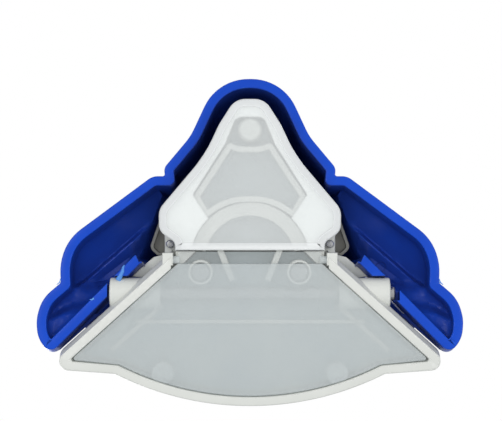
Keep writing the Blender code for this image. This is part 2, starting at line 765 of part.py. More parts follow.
def rim_height(x, y):
    """The rim is level, and rises to an arch where the front edge crosses the table."""
    if y > 0:
        return RIM_Z
    lift = smooth((FRONT_RIM_X + 0.9 * MM - abs(x)) / (1.8 * MM))
    return RIM_Z + (FRONT_RIM_Z - RIM_Z) * lift


def build_shell():
    """The handle's closed shell: an outer sheet, an inner sheet, their walls and the rim between."""
    outer = handle_outline()
    inner = handle_outline(SHELL_WALL)

    def height(x, y, drop):
        loop = outer if drop == 0 else inner
        radius = EDGE_ROUND if drop == 0 else EDGE_ROUND - 2 * MM
        depth = min(distance_to(loop, x, y), radius)
        fall = radius - math.sqrt(max(0.0, radius ** 2 - (radius - depth) ** 2))
        return roof(x, y) - drop - EDGE_FALL * fall

    bm = bmesh.new()
    rims = []
    outer_rings = (0.5 * MM, 1.6 * MM, 3.2 * MM)
    inner_rings = (0.6 * MM, 2.2 * MM)
    for loop, drop, rings in ((outer, 0.0, outer_rings), (inner, SHELL_ROOF, inner_rings)):
        verts, faces = surface(loop, height, drop, rings)
        made = [bm.verts.new(v) for v in verts]
        for face in faces:
            bm.faces.new([made[i] for i in face])
        rim = [bm.verts.new((x, y, rim_height(x, y))) for x, y in loop]
        top = made[:len(loop)]
        for a, b, c, d in zip(rim, rim[1:] + rim[:1], top[1:] + top[:1], top):
            bm.faces.new((a, b, c, d))
        rims.append(rim)
    low, high = rims
    for a, b, c, d in zip(low, low[1:] + low[:1], high[1:] + high[:1], high):
        bm.faces.new((a, b, c, d))
    return bm


def beside_tray(side, shift, x0, x1):
    """A line along the wing's inner side, shift millimetres outside its tray-side face."""
    return [(side * (x + 1.4 * shift) * MM, (21.2 - x) / 0.981 * MM) for x in (x0, x1)]


def build_handle(pivot):
    handle = add("press_handle", build_shell(), "blue", pivot, origin=(0, AXLE_Y, AXLE_Z), smooth=28.0)
    bore_x = 22.0 * MM
    reach = BOSS_END_X + GAP - bore_x
    mouth_y = 3.3 * MM
    pin_way = 2.1 * MM
    pin_end = 36.8 * MM
    guard_top = GUARD_Z + GUARD_THICK
    forms = []
    cuts = []
    for side in (1, -1):
        name = side_name(side)
        fork = strip(beside_tray(side, 1.2, 27.2, 35.8), 2.9 * MM, RIM_Z - 0.1 * MM, 15.0 * MM)
        fence = strip(beside_tray(side, 0.9, 27.4, 39.8), 1.2 * MM, 10.0 * MM, guard_top - 0.2 * MM)
        guard = strip(beside_tray(side, -0.7, 27.6, 41.8), 2.6 * MM, GUARD_Z, guard_top)
        for kind, bm in (("fork_", fork), ("fence_", fence), ("guard_", guard)):
            forms.append(add("form_" + kind + name, bm, parent=pivot))
        bore = turned([(BOSS_R + GAP, 0.0), (BOSS_R + GAP, reach)], (bore_x, AXLE_Y, AXLE_Z), "X", 28)
        mouth = box(bore_x, bore_x + reach, AXLE_Y - mouth_y, AXLE_Y + mouth_y, -2.0 * MM, AXLE_Z)
        cuts.append(add("cutter_fork_bore_" + name, mirror_x(bore, side), parent=pivot))
        cuts.append(add("cutter_fork_mouth_" + name, mirror_x(mouth, side), parent=pivot))
    pin_room = box(-pin_end, -bore_x, AXLE_Y - pin_way, AXLE_Y + pin_way, -2.0 * MM, AXLE_Z + pin_way)
    cuts.append(add("cutter_pin_way", pin_room, parent=pivot))
    boolean(handle, "UNION", forms)
    boolean(handle, "DIFFERENCE", cuts)
    return handle


def build_shoe(pivot):
    """The contact post, fixed under the handle's roof."""
    top = roof(0.0, SHOE_Y) - SHELL_ROOF - GAP
    profile = [(0.0, 0.0), (1.6, 0.25), (2.9, 1.1), (3.2, 2.2)]
    shoe = [(r * MM, SHOE_Z + z * MM) for r, z in profile] + [(3.2 * MM, top - 0.8 * MM)]
    add("pressure_shoe", turned(shoe, (0, SHOE_Y, 0), segments=24), "black", pivot)


# ---------------------------------------------------------------- assembly
PIVOTS = {}


def pivot(name, place, tilt=0.0):
    empty = bpy.data.objects.new(name, None)
    empty.location = place
    empty.rotation_euler.x = tilt
    bpy.context.collection.objects.link(empty)
    PIVOTS[name] = Vector(place)
    return empty


def main():
    clear_scene()
    press_pivot = pivot("press_pivot", (0, AXLE_Y, AXLE_Z), REST_TILT)
    punch_pivot = pivot("punch_pivot", (0, 0, 0))
    door_pivot = pivot("door_pivot", (0, DOOR_HINGE_Y, DOOR_HINGE_Z))
    build_base()
    build_fixed_pieces()
    build_nose_cover()
    build_door(door_pivot)
    build_housing()
    build_punch(punch_pivot)
    build_handle(press_pivot)
    build_shoe(press_pivot)


main()
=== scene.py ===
"""Looks for the lever corner rounder: fine meshes, moulded plastic and steel, studio and camera."""
import json
import math

import bmesh
import bpy
from mathutils import Matrix, Vector
from mathutils.geometry import delaunay_2d_cdt


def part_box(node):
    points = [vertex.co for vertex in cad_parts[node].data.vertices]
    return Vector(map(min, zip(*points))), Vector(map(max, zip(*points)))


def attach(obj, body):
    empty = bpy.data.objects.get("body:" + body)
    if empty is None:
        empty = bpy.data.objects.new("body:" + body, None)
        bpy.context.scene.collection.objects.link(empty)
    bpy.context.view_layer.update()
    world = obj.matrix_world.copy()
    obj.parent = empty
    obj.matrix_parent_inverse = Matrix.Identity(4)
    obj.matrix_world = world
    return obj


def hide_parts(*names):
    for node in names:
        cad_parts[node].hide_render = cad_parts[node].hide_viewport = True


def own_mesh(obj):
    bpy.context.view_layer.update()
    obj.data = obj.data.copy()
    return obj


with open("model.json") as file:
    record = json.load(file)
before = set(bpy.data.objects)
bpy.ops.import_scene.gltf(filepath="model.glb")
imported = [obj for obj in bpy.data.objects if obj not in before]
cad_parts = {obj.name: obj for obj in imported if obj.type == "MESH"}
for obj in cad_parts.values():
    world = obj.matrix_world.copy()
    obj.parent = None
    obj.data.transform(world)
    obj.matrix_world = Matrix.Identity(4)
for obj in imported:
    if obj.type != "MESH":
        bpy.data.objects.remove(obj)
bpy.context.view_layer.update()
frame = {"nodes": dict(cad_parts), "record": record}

MM = 0.001
RECORD = frame["record"]
JOINTS = {joint["name"]: joint for joint in RECORD["behaviour"]["joints"]}
AXLE = Vector(JOINTS["handle_press"]["pos_m"])
DOOR_HINGE = Vector(JOINTS["chip_door_hinge"]["pos_m"])

# Tray and table, as in the CAD frame
DECK_Z = 12.0
TABLE_Z = 14.0
DECK_JOIN_Z = 12.2            # walls and ribs run this far up into the deck
FLOOR_Z = 0.4                 # lower face of the frosted covers
WALL = 2.3
WALL_FLARE = 0.95             # how far the wall spreads between its rim and its root
FAN_SLOPE = 1.111             # the tray's diagonals run x = FAN_EDGE - FAN_SLOPE * y
FAN_EDGE = 15.2
FAN_LEAN = 1.495              # sideways shift of a diagonal for each millimetre of inset
FLAT_X = 33.0                 # where the short flat at the tip meets the arc
FLAT_Y = -31.7
DOOR_INSET = 2.46
FRONT_ARC_R = 73.16
FRONT_ARC_Y = 32.8
BOSS_R = 3.85
BOSS_END_X = 34.8
BOSS_ROOT_X = 22.0
NECK_X = 18.3
NECK_Y = -2.3
CHUTE_Y = -5.0
CHUTE_R = 14.6
PEG_Y = 27.3                  # the nose screw and its post
SCREW_X, SCREW_Y = 12.1, -7.7  # the die screws and their rings
STUD_X, STUD_Y = 21.4, -32.5  # the door's studs and their posts
RIVET_X, RIVET_Y = 19.9, -0.9
SPRING_X, SPRING_Y = 14.4, 11.0
CUT_R = 12.7
CUT_ARC_Y = -1.14
GUIDE_LINE = 17.37            # x + y of the paper guides

# Handle, in its level, pressed position
AXLE_Y = AXLE.y / MM
AXLE_Z = AXLE.z / MM
REST_TILT = math.radians(JOINTS["handle_press"]["range_deg"][1])
RIM_Z = 3.5
SHELL_WALL = 2.4
SHELL_ROOF = 2.2
EDGE_ROUND = 5.0
EDGE_FALL = 0.6               # height of the rounded shoulder over its width
HUMP_Z = 42.0
HUMP_HALF = 19.9
HUMP_FLARE = 0.40
HUMP_FLARE_Y = 14.0
HUMP_STEP = 3.4
WING_Z = 22.0
WING_EDGE_Z = 12.0
WING_BEVEL = 10.7
VALLEY_X = 32.9               # under a wing, the inner band starts at x = VALLEY_X - VALLEY_SLOPE * y
VALLEY_SLOPE = 1.15
VALLEY_STEP = 2.4
BAND_DENT = 2.8
LOBE_STEP_Y = -14.2
LOBE_STEP = 3.4
LOBE_DENT = 3.4
LOBE_Z = 14.5
FRONT_RIM_Z = 18.0
RIB_START = 21.4              # where the rib beside the tray begins, measured along it
WING_CORNER = (24.15, 15.9)   # where a wing's outer edge starts
WING_NORMAL = (0.614, 0.789)  # points out across that edge
LOBE_CENTRE = (44.2, -19.0)
GUARD_Z = 17.8                # underside of the strips that cover the gap beside the tray
GUARD_THICK = 1.8
RIB_SLOPE = 0.981             # the wing's inner side runs x = constant - RIB_SLOPE * y
RIM_ROUND = 0.35
FORK_GAP = 0.15
BORE_GAP = 0.3
PIN_ROOM = 2.1                # half width of the slot that clears the axle's end
PIN_ROOM_X = -36.8            # where that slot stops
EJECTOR_MARKS = ((37.4, 0.7, 1.6), (37.1, -10.8, 0.9), (-38.0, 0.7, 1.7), (-33.0, -5.1, 1.2))
EJECTOR_DEPTH = 0.28


# ---------------------------------------------------------------- outlines, in millimetres
def smooth(t):
    """Ease from 0 to 1."""
    t = min(1.0, max(0.0, t))
    return t * t * (3 - 2 * t)


def arc(centre, radius, start, end, steps):
    """Points round a centre, from one angle to another in degrees."""
    points = []
    for i in range(steps + 1):
        a = math.radians(start + (end - start) * i / steps)
        points.append((centre[0] + radius * math.cos(a), centre[1] + radius * math.sin(a)))
    return points


def rounded(corners, step=6.0):
    """An open path through (x, y, radius) corners, rounded at each inner corner."""
    path = [Vector((x, y)) for x, y, _ in corners]
    out = [path[0]]
    for i in range(1, len(path) - 1):
        here = path[i]
        before = (path[i - 1] - here).normalized()
        after = (path[i + 1] - here).normalized()
        radius = corners[i][2]
        turn = math.pi - before.angle(after)
        if radius == 0 or turn < 0.01:
            out.append(here)
            continue
        reach = radius * math.tan(turn / 2)
        centre = here + (before + after).normalized() * radius / math.cos(turn / 2)
        first = here + before * reach - centre
        swing = first.angle_signed(here + after * reach - centre)
        count = max(2, math.ceil(math.degrees(abs(swing)) / step - 0.01))
        for k in range(count + 1):
            c, s = math.cos(swing * k / count), math.sin(swing * k / count)
            out.append(centre + Vector((first.x * c + first.y * s, first.y * c - first.x * s)))
    out.append(path[-1])
    return [(p[0], p[1]) for p in out]


def mirrored(half):
    """Close a right-hand half path with its mirror image. Points on the middle line aren't doubled."""
    return half + [(-x, y) for x, y in reversed(half) if x > 1e-4]


def on_side(side, points):
    """Right-hand points, mirrored to the left where side is -1."""
    return [(side * x, y) for x, y in points]


def offset(loop, distance):
    """Move a closed loop inwards, with mitred corners."""
    area = sum(a[0] * b[1] - b[0] * a[1] for a, b in zip(loop, loop[1:] + loop[:1]))
    side = 1.0 if area > 0 else -1.0
    out = []
    for before, here, after in zip(loop[-1:] + loop[:-1], loop, loop[1:] + loop[:1]):
        d1 = (Vector(here) - Vector(before)).normalized()
        d2 = (Vector(after) - Vector(here)).normalized()
        normal = Vector((-d1.y - d2.y, d1.x + d2.x)).normalized() * side
        lean = max(0.5, normal.dot(Vector((-d1.y, d1.x)) * side))
        out.append((here[0] + normal.x * distance / lean, here[1] + normal.y * distance / lean))
    return out


def refit(corners, inset):
    """Move a symmetric outline in by inset, and fit its corner radii to the move."""
    moved = offset(mirrored([(x, y) for x, y, _, _ in corners]), inset)
    path = []
    for (x, y), (_, _, radius, bulge) in zip(moved, corners):
        fitted = max(0.3, radius - inset) if bulge == "out" else max(0.3, radius + 0.4 * inset)
        path.append((x, y, fitted if radius else 0))
    return rounded(path)


def offset_half(half, distance):
    """Right half of a symmetric loop, moved inwards."""
    loop = offset(mirrored(half), distance)
    return [(max(0.0, x), y) for x, y in loop[:len(half)]]


def split_long(loops, longest):
    """Add points on the long edges of loops that run side by side, the same number on each."""
    out = [[] for _ in loops]
    count = len(loops[0])
    for i in range(count):
        j = (i + 1) % count
        a, b = Vector(loops[0][i]), Vector(loops[0][j])
        parts = max(1, math.ceil((b - a).length / longest))
        for loop, made in zip(loops, out):
            p, q = Vector(loop[i]), Vector(loop[j])
            made += [tuple(p.lerp(q, k / parts)) for k in range(parts)]
    return out


def front_arc(radius, x_end):
    """The tray's curved edge, from x_end to the middle line."""
    start = -math.degrees(math.acos(x_end / radius))
    return arc((0.0, FRONT_ARC_Y), radius, start, -90.0, 40)


def fan_path(inset, flare=0.0):
    """Right half of the tray wall: down its diagonal, round the tip, along the arc."""
    edge = FAN_EDGE - FAN_LEAN * (inset - flare)
    flat_y = FLAT_Y + inset
    flat_x = FLAT_X - 0.4 * inset
    tip = rounded([
        (19.3, (edge - 19.3) / FAN_SLOPE, 0),
        (edge - FAN_SLOPE * flat_y, flat_y, 2.3 + 0.8 * flare if inset < 1 else 0.5),
        (flat_x, flat_y, 0),
    ])
    return tip[:-1] + front_arc(FRONT_ARC_R - inset, flat_x)


NOSE_CORNERS = (
    (0, 34.7, 0, "out"),
    (3.6, 34.7, 4.5, "out"),
    (7.6, 28.4, 9, "out"),
    (10.2, 22.8, 25, "in"),
    (12.9, 18.8, 30, "in"),
    (22.3, 7.7, 4.5, "out"),
    (22.2, 2.4, 3, "out"),
    (NECK_X, -0.3, 2, "in"),
    (NECK_X, NECK_Y, 0, "out"),
    (0, NECK_Y, 0, "out"),
)


def nose_path(inset):
    """Right half of the nose, from its top down to the neck."""
    return refit(NOSE_CORNERS, inset)[:-1]


def deck_outline():
    """The paper table. It reaches a little past the tray's rim."""
    overhang = 0.9
    tip_y = FLAT_Y + 0.3
    edge = FAN_EDGE + overhang
    nose = [(max(0.0, x - 0.3), y - 0.4 if y > 30 else y, radius) for x, y, radius, _ in NOSE_CORNERS[:6]]
    side = rounded(nose + [
        (21.3, 0.5, 2),
        (21.3, (edge - 21.3) / FAN_SLOPE, 1),
        (edge - FAN_SLOPE * tip_y, tip_y, 3.4),
        (43.0, FLAT_Y, 0),
        (FLAT_X, FLAT_Y, 0),
    ])
    return mirrored(side[:-1] + front_arc(FRONT_ARC_R, FLAT_X))


def blade_outline(grow):
    """The punch blade's section, its cutting arc towards the paper."""
    cut = arc((0.0, CUT_ARC_Y), CUT_R - grow, 90.0, 45.0, 14)
    right = cut + [(9.8 + grow, 8.6 - grow / 2), (10.8 + grow, 11.2), (4.4 + grow, 21.8 + grow)]
    return mirrored(right)


POCKET_CORNERS = (
    (0, 23.2, 0, "in"),
    (2.6, 23.2, 6, "in"),
    (5.2, 24.2, 1.0, "out"),
    (13.9, 10.9, 1.6, "out"),
    (10.9, 5.6, 0.9, "out"),
    (5.0, 9.6, 14, "in"),
    (0, 9.6, 0, "in"),
)


def chute_arc(radius, start, stop):
    """Arcs of the chip chute share one centre on the middle line."""
    return arc((0.0, CHUTE_Y), radius, start, stop, 20)


def door_half(inset):
    """Right half of the chip door."""
    total = DOOR_INSET + inset
    edge = FAN_EDGE - FAN_LEAN * total
    flat_y = FLAT_Y + total
    top_y = -5.5 - inset
    arc_x = FLAT_X - 1.0 - inset
    side = rounded([
        (0, top_y, 0),
        (edge - FAN_SLOPE * top_y, top_y, 0.3),
        (edge - FAN_SLOPE * flat_y, flat_y, 0.6),
        (arc_x, flat_y, 0),
    ])
    return side[:-1] + front_arc(FRONT_ARC_R - total, arc_x)


# ---------------------------------------------------------------- mesh tools
def walls(bm, rings):
    """Join rings of vertices, each with its neighbour."""
    for low, high in zip(rings, rings[1:]):
        for a, b, c, d in zip(low, low[1:] + low[:1], high[1:] + high[:1], high):
            bm.faces.new((a, b, c, d))


def ring_of(bm, loop, z):
    """One vertex for each point of a loop, all at one height."""
    return [bm.verts.new((x * MM, y * MM, z * MM)) for x, y in loop]


def cap(bm, rings):
    """Fill the flat face between closed rings."""
    edges = []
    for ring in rings:
        for a, b in zip(ring, ring[1:] + ring[:1]):
            edges.append(bm.edges.get((a, b)) or bm.edges.new((a, b)))
    bmesh.ops.triangle_fill(bm, use_beauty=True, edges=edges)


def edge_steps(z0, z1, low, high, count=4):
    """(inset, z) pairs up a side with rounded lower and upper edges."""
    steps = []
    for k in range(count + 1):
        a = math.pi / 2 * k / count
        steps.append((low * (1 - math.sin(a)), z0 + low * (1 - math.cos(a))))
    for k in range(count + 1):
        a = math.pi / 2 * k / count
        steps.append((high * (1 - math.cos(a)), z1 - high * (1 - math.sin(a))))
    return steps


def soft_slab(loops, z0, z1, low=0.3, high=0.3, bm=None):
    """A plate with rounded edges. The first loop is its outline, the others are holes."""
    bm = bm or bmesh.new()
    bottoms, tops = [], []
    for i, loop in enumerate(loops):
        side = 1 if i == 0 else -1
        rings = [ring_of(bm, offset(loop, side * d), z) for d, z in edge_steps(z0, z1, low, high)]
        walls(bm, rings)
        bottoms.append(rings[0])
        tops.append(rings[-1])
    cap(bm, bottoms)
    cap(bm, tops)
    return bm


def band(path, thickness):
    """The outline of a straight strip between two points."""
    a, b = Vector(path[0]), Vector(path[1])
    along = (b - a).normalized()
    side = Vector((-along.y, along.x)) * thickness / 2
    return [tuple(p) for p in (a + side, a - side, b - side, b + side)]


def wall_strip(path, thickness, z0, z1, bm):
    """A straight upright rib between two points."""
    return soft_slab([band(path, thickness)], z0, z1, low=min(0.25, thickness / 3), high=0.02, bm=bm)


def turned(profile, centre=(0, 0, 0), lying=0, segments=48, bm=None):
    """A solid turned from (radius, height) points. Its top points up, or along lying times X."""
    whole = bm or bmesh.new()
    part = bmesh.new()
    rings = []
    for radius, height in profile:
        ring = []
        for i in range(segments):
            a = 2 * math.pi / segments * i
            ring.append(part.verts.new((radius * math.cos(a), radius * math.sin(a), height)))
        rings.append(ring)
    walls(part, rings)
    part.faces.new(rings[0])
    part.faces.new(rings[-1])
    if lying:
        bmesh.ops.rotate(part, verts=part.verts, matrix=Matrix.Rotation(lying * math.pi / 2, 3, "Y"))
    bmesh.ops.translate(part, verts=part.verts, vec=centre)
    bmesh.ops.scale(part, verts=part.verts, vec=(MM, MM, MM))
    spare = bpy.data.meshes.new("turned")
    part.to_mesh(spare)
    part.free()
    whole.from_mesh(spare)
    bpy.data.meshes.remove(spare)
    return whole


def turned_ring(profile, centre, bm, segments=48):
    """A hollow turned form: the (radius, height) profile is closed on itself."""
    rings = []
    for radius, height in profile:
        loop = arc(centre[:2], radius, 0.0, 360.0 * (segments - 1) / segments, segments - 1)
        rings.append(ring_of(bm, loop, centre[2] + height))
    walls(bm, rings + rings[:1])


def swept(path, radius, bm=None, sides=12):
    """A round tube along points, its radius a number or a function of the place along it."""
    bm = bm or bmesh.new()
    points = [Vector(p) for p in path]
    rings = []
    normal = None
    for i, here in enumerate(points):
        along = (points[min(i + 1, len(points) - 1)] - points[max(i - 1, 0)]).normalized()
        if normal is None:
            normal = along.orthogonal().normalized()
        normal = (normal - along * normal.dot(along)).normalized()
        other = along.cross(normal)
        size = radius(i / (len(points) - 1)) if callable(radius) else radius
        ring = []
        for k in range(sides):
            a = 2 * math.pi * k / sides
            ring.append(bm.verts.new((here + (normal * math.cos(a) + other * math.sin(a)) * size) * MM))
        rings.append(ring)
    walls(bm, rings)
    bm.faces.new(rings[0])
    bm.faces.new(rings[-1])
    return bm


def piece(name, bm, body, mat, replaced=(), smooth=32.0, matrix=None):
    """Turn a bmesh into a finished object that rides on a body."""
    bmesh.ops.recalc_face_normals(bm, faces=bm.faces)
    mesh = bpy.data.meshes.new(name)
    if matrix is not None:
        bmesh.ops.transform(bm, matrix=matrix, verts=bm.verts)
    bm.to_mesh(mesh)
    bm.free()
    mesh.shade_smooth()
    mesh.set_sharp_from_angle(angle=math.radians(smooth))
    obj = bpy.data.objects.new(name, mesh)
    bpy.context.collection.objects.link(obj)
    mesh.materials.append(mat)
    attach(obj, body)
    if replaced:
        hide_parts(*replaced)
    return obj


def carve(obj, tools):
    """Cut the tools out of an object and keep only the result."""
    for tool in tools:
        mod = obj.modifiers.new("cut", "BOOLEAN")
        mod.operation = "DIFFERENCE"
        mod.solver = "EXACT"
        mod.object = tool
    bpy.context.view_layer.update()
    graph = bpy.context.evaluated_depsgraph_get()
    result = bpy.data.meshes.new_from_object(obj.evaluated_get(graph))
    obj.modifiers.clear()
    old = obj.data
    obj.data = result
    bpy.data.meshes.remove(old)
    for tool in tools:
        mesh = tool.data
        bpy.data.objects.remove(tool)
        bpy.data.meshes.remove(mesh)


def cutter(bm, matrix=None):
    """A bare object for carve to use up."""
    bmesh.ops.recalc_face_normals(bm, faces=bm.faces)
    if matrix is not None:
        bmesh.ops.transform(bm, matrix=matrix, verts=bm.verts)
    mesh = bpy.data.meshes.new("cutter")
    bm.to_mesh(mesh)
    bm.free()
    obj = bpy.data.objects.new("cutter", mesh)
    bpy.context.collection.objects.link(obj)
    return obj


def block(x0, x1, y0, y1, z0, z1):
    """A box with hardly any rounding, for cutting."""
    return soft_slab([[(x0, y0), (x1, y0), (x1, y1), (x0, y1)]], z0, z1, low=0.01, high=0.01)


# ---------------------------------------------------------------- materials
class Nodes:
    """Short names for building a node material."""

    def __init__(self, name):
        self.mat = bpy.data.materials.new(name)
        self.mat.use_nodes = True
        self.tree = self.mat.node_tree
        self.shader = self.tree.nodes["Principled BSDF"]
        self.output = self.tree.nodes["Material Output"]

    def node(self, kind, **values):
        made = self.tree.nodes.new(kind)
        for key, value in values.items():
            if key in made.inputs:
                made.inputs[key].default_value = value
            else:
                setattr(made, key, value)
        return made

    def link(self, out, into):
        self.tree.links.new(out, into)

    def noise(self, scale, detail=3.0, roughness=0.55):
        place = self.node("ShaderNodeTexCoord").outputs["Object"]
        made = self.node("ShaderNodeTexNoise", Scale=scale, Detail=detail, Roughness=roughness)
        self.link(place, made.inputs["Vector"])
        return made.outputs["Fac"]

    def spread(self, value, low, high, start=0.3, end=0.7):
        made = self.node("ShaderNodeMapRange")
        made.inputs["From Min"].default_value = start
        made.inputs["From Max"].default_value = end
        made.inputs["To Min"].default_value = low
        made.inputs["To Max"].default_value = high
        self.link(value, made.inputs["Value"])
        return made.outputs["Result"]

    def blend(self, factor, first, second):
        made = self.node("ShaderNodeMix", data_type="RGBA")
        self.link(factor, made.inputs["Factor"])
        for value, socket in ((first, made.inputs[6]), (second, made.inputs[7])):
            if isinstance(value, tuple):
                socket.default_value = (*value, 1.0)
            else:
                self.link(value, socket)
        return made.outputs[2]

    def bump(self, height, distance, strength=1.0, after=None):
        made = self.node("ShaderNodeBump", Strength=strength, Distance=distance)
        self.link(height, made.inputs["Height"])
        if after:
            self.link(after, made.inputs["Normal"])
        return made.outputs["Normal"]


def moulded(name, colour, shade, rough, grain=0.000012, worn=None, painted_hollow_shade=None, specular=0.4):
    """Moulded plastic: flow marks, a fine grain, uneven gloss, paler worn edges, and painted shade in
    hollows.
    """
    n = Nodes(name)
    base = n.blend(n.spread(n.noise(90.0, 4.0), 0.0, 1.0), colour, shade)
    if worn:
        edge = n.node("ShaderNodeNewGeometry").outputs["Pointiness"]
        speck = n.spread(n.noise(900.0, 2.0), 0.2, 1.0)
        ridge = n.spread(edge, 0.0, 0.55, 0.53, 0.60)
        both = n.node("ShaderNodeMath", operation="MULTIPLY")
        n.link(ridge, both.inputs[0])
        n.link(speck, both.inputs[1])
        base = n.blend(both.outputs[0], base, worn)
    # Painted shade: ambient occlusion blends the darker colour into hollows and recesses, where shade falls.
    if painted_hollow_shade:
        hollow = n.node("ShaderNodeAmbientOcclusion", samples=6)
        hollow.inputs["Distance"].default_value = 0.030
        base = n.blend(n.spread(hollow.outputs["AO"], 0.0, 1.0, 0.15, 0.80), painted_hollow_shade, base)
    n.link(base, n.shader.inputs["Base Color"])
    n.link(n.spread(n.noise(320.0, 3.0), rough - 0.05, rough + 0.07), n.shader.inputs["Roughness"])
    fine = n.bump(n.noise(5200.0, 2.0), grain)
    n.link(n.bump(n.noise(55.0, 2.0), 0.00006, 0.5, fine), n.shader.inputs["Normal"])
    n.shader.inputs["Specular IOR Level"].default_value = specular
    return n.mat


def frosted(name, colour, shade, rough, clear):
    """Frosted polypropylene: part of the light passes straight, and part is scattered."""
    n = Nodes(name)
    n.link(n.blend(n.spread(n.noise(60.0, 3.0), 0.0, 1.0), colour, shade), n.shader.inputs["Base Color"])
    n.link(n.spread(n.noise(400.0, 3.0), rough - 0.04, rough + 0.06), n.shader.inputs["Roughness"])
    n.link(n.bump(n.noise(2200.0, 2.0), 0.000004, 0.5), n.shader.inputs["Normal"])
    n.shader.inputs["IOR"].default_value = 1.30
    n.shader.inputs["Alpha"].default_value = 1.0 - clear
    return n.mat


def steel(name, colour, rough, lines=None):
    """Steel: brushed along one axis where lines gives its stretch, or evenly dull."""
    n = Nodes(name)
    place = n.node("ShaderNodeTexCoord").outputs["Object"]
    stretch = n.node("ShaderNodeMapping")
    stretch.inputs["Scale"].default_value = lines or (1.0, 1.0, 1.0)
    n.link(place, stretch.inputs["Vector"])
    streak = n.node("ShaderNodeTexNoise", Scale=900.0, Detail=4.0)
    n.link(stretch.outputs["Vector"], streak.inputs["Vector"])
    dark = tuple(c * 0.72 for c in colour)
    n.link(n.blend(streak.outputs["Fac"], dark, colour), n.shader.inputs["Base Color"])
    n.link(n.spread(streak.outputs["Fac"], rough - 0.08, rough + 0.12), n.shader.inputs["Roughness"])
    n.link(n.bump(streak.outputs["Fac"], 0.000008), n.shader.inputs["Normal"])
    n.shader.inputs["Metallic"].default_value = 1.0
    return n.mat


# The blue's darker hollow colour is painted shade inside the shell.
BLUE = moulded("blue_abs", (0.0025, 0.062, 0.525), (0.002, 0.052, 0.460), 0.34,
               worn=(0.025, 0.13, 0.62), painted_hollow_shade=(0.013, 0.036, 0.235), specular=0.26)
# Pale blue: stress-whitened plastic, and also painted glint on the burrs.
WHITENED_BLUE_AND_GLINT = moulded("stress_whitened_blue_and_painted_glint", (0.14, 0.36, 0.74), (0.07, 0.24, 0.68), 0.45)
WHITE = moulded("white_abs", (0.648, 0.660, 0.627), (0.605, 0.620, 0.588), 0.42, worn=(0.72, 0.73, 0.70))
# A brighter copy of the white plastic: painted light, so the nose web behind the frosted cover looks lit.
PAINTED_LIGHT_WHITE = moulded("white_abs_painted_light", (0.93, 0.94, 0.925), (0.90, 0.915, 0.90), 0.45)
SHADED_WHITE = moulded("shaded_white_abs", (0.32, 0.38, 0.40), (0.29, 0.35, 0.37), 0.5)
GREY = moulded("grey_plastic", (0.176, 0.174, 0.160), (0.14, 0.138, 0.127), 0.52, worn=(0.30, 0.30, 0.28))
BLACK = moulded("black_acetal", (0.022, 0.022, 0.024), (0.030, 0.030, 0.032), 0.45)
FROSTED = frosted("frosted_polypropylene", (0.90, 0.925, 0.92), (0.87, 0.90, 0.90), 0.30, 0.66)
FROSTED_EDGE = frosted("frosted_polypropylene_edge", (0.84, 0.86, 0.86), (0.82, 0.84, 0.845), 0.30, 0.28)
DOOR_FROSTED = frosted("frosted_door_panel", (0.70, 0.745, 0.745), (0.67, 0.72, 0.73), 0.32, 0.58)
CLEARER = frosted("thin_hinge_polypropylene", (0.72, 0.76, 0.76), (0.70, 0.74, 0.74), 0.20, 0.84)
TOOL_STEEL = steel("ground_tool_steel", (0.55, 0.55, 0.56), 0.32, (1.0, 14.0, 1.0))
PLATED_STEEL = steel("bright_plated_steel", (0.68, 0.68, 0.69), 0.24)
SPRING_STEEL = steel("spring_steel", (0.50, 0.50, 0.52), 0.30)


# ---------------------------------------------------------------- base
def web_hole():
    """Right half of the opening in the nose web, which clears the peg, the pocket and the chute."""
    pocket = [p for p in refit(POCKET_CORNERS, -0.35) if p[1] > 11.0]
    peg_room = rounded([(0.0, 30.4, 0), (3.4, 30.4, 2.2), (6.2, 23.6, 0)])
    side = [p for p in pocket if p[0] > 6.4]
    return peg_room + side + chute_arc(CHUTE_R, 46.0, 12.0) + [(14.2, -1.2), (0.0, -1.2)]


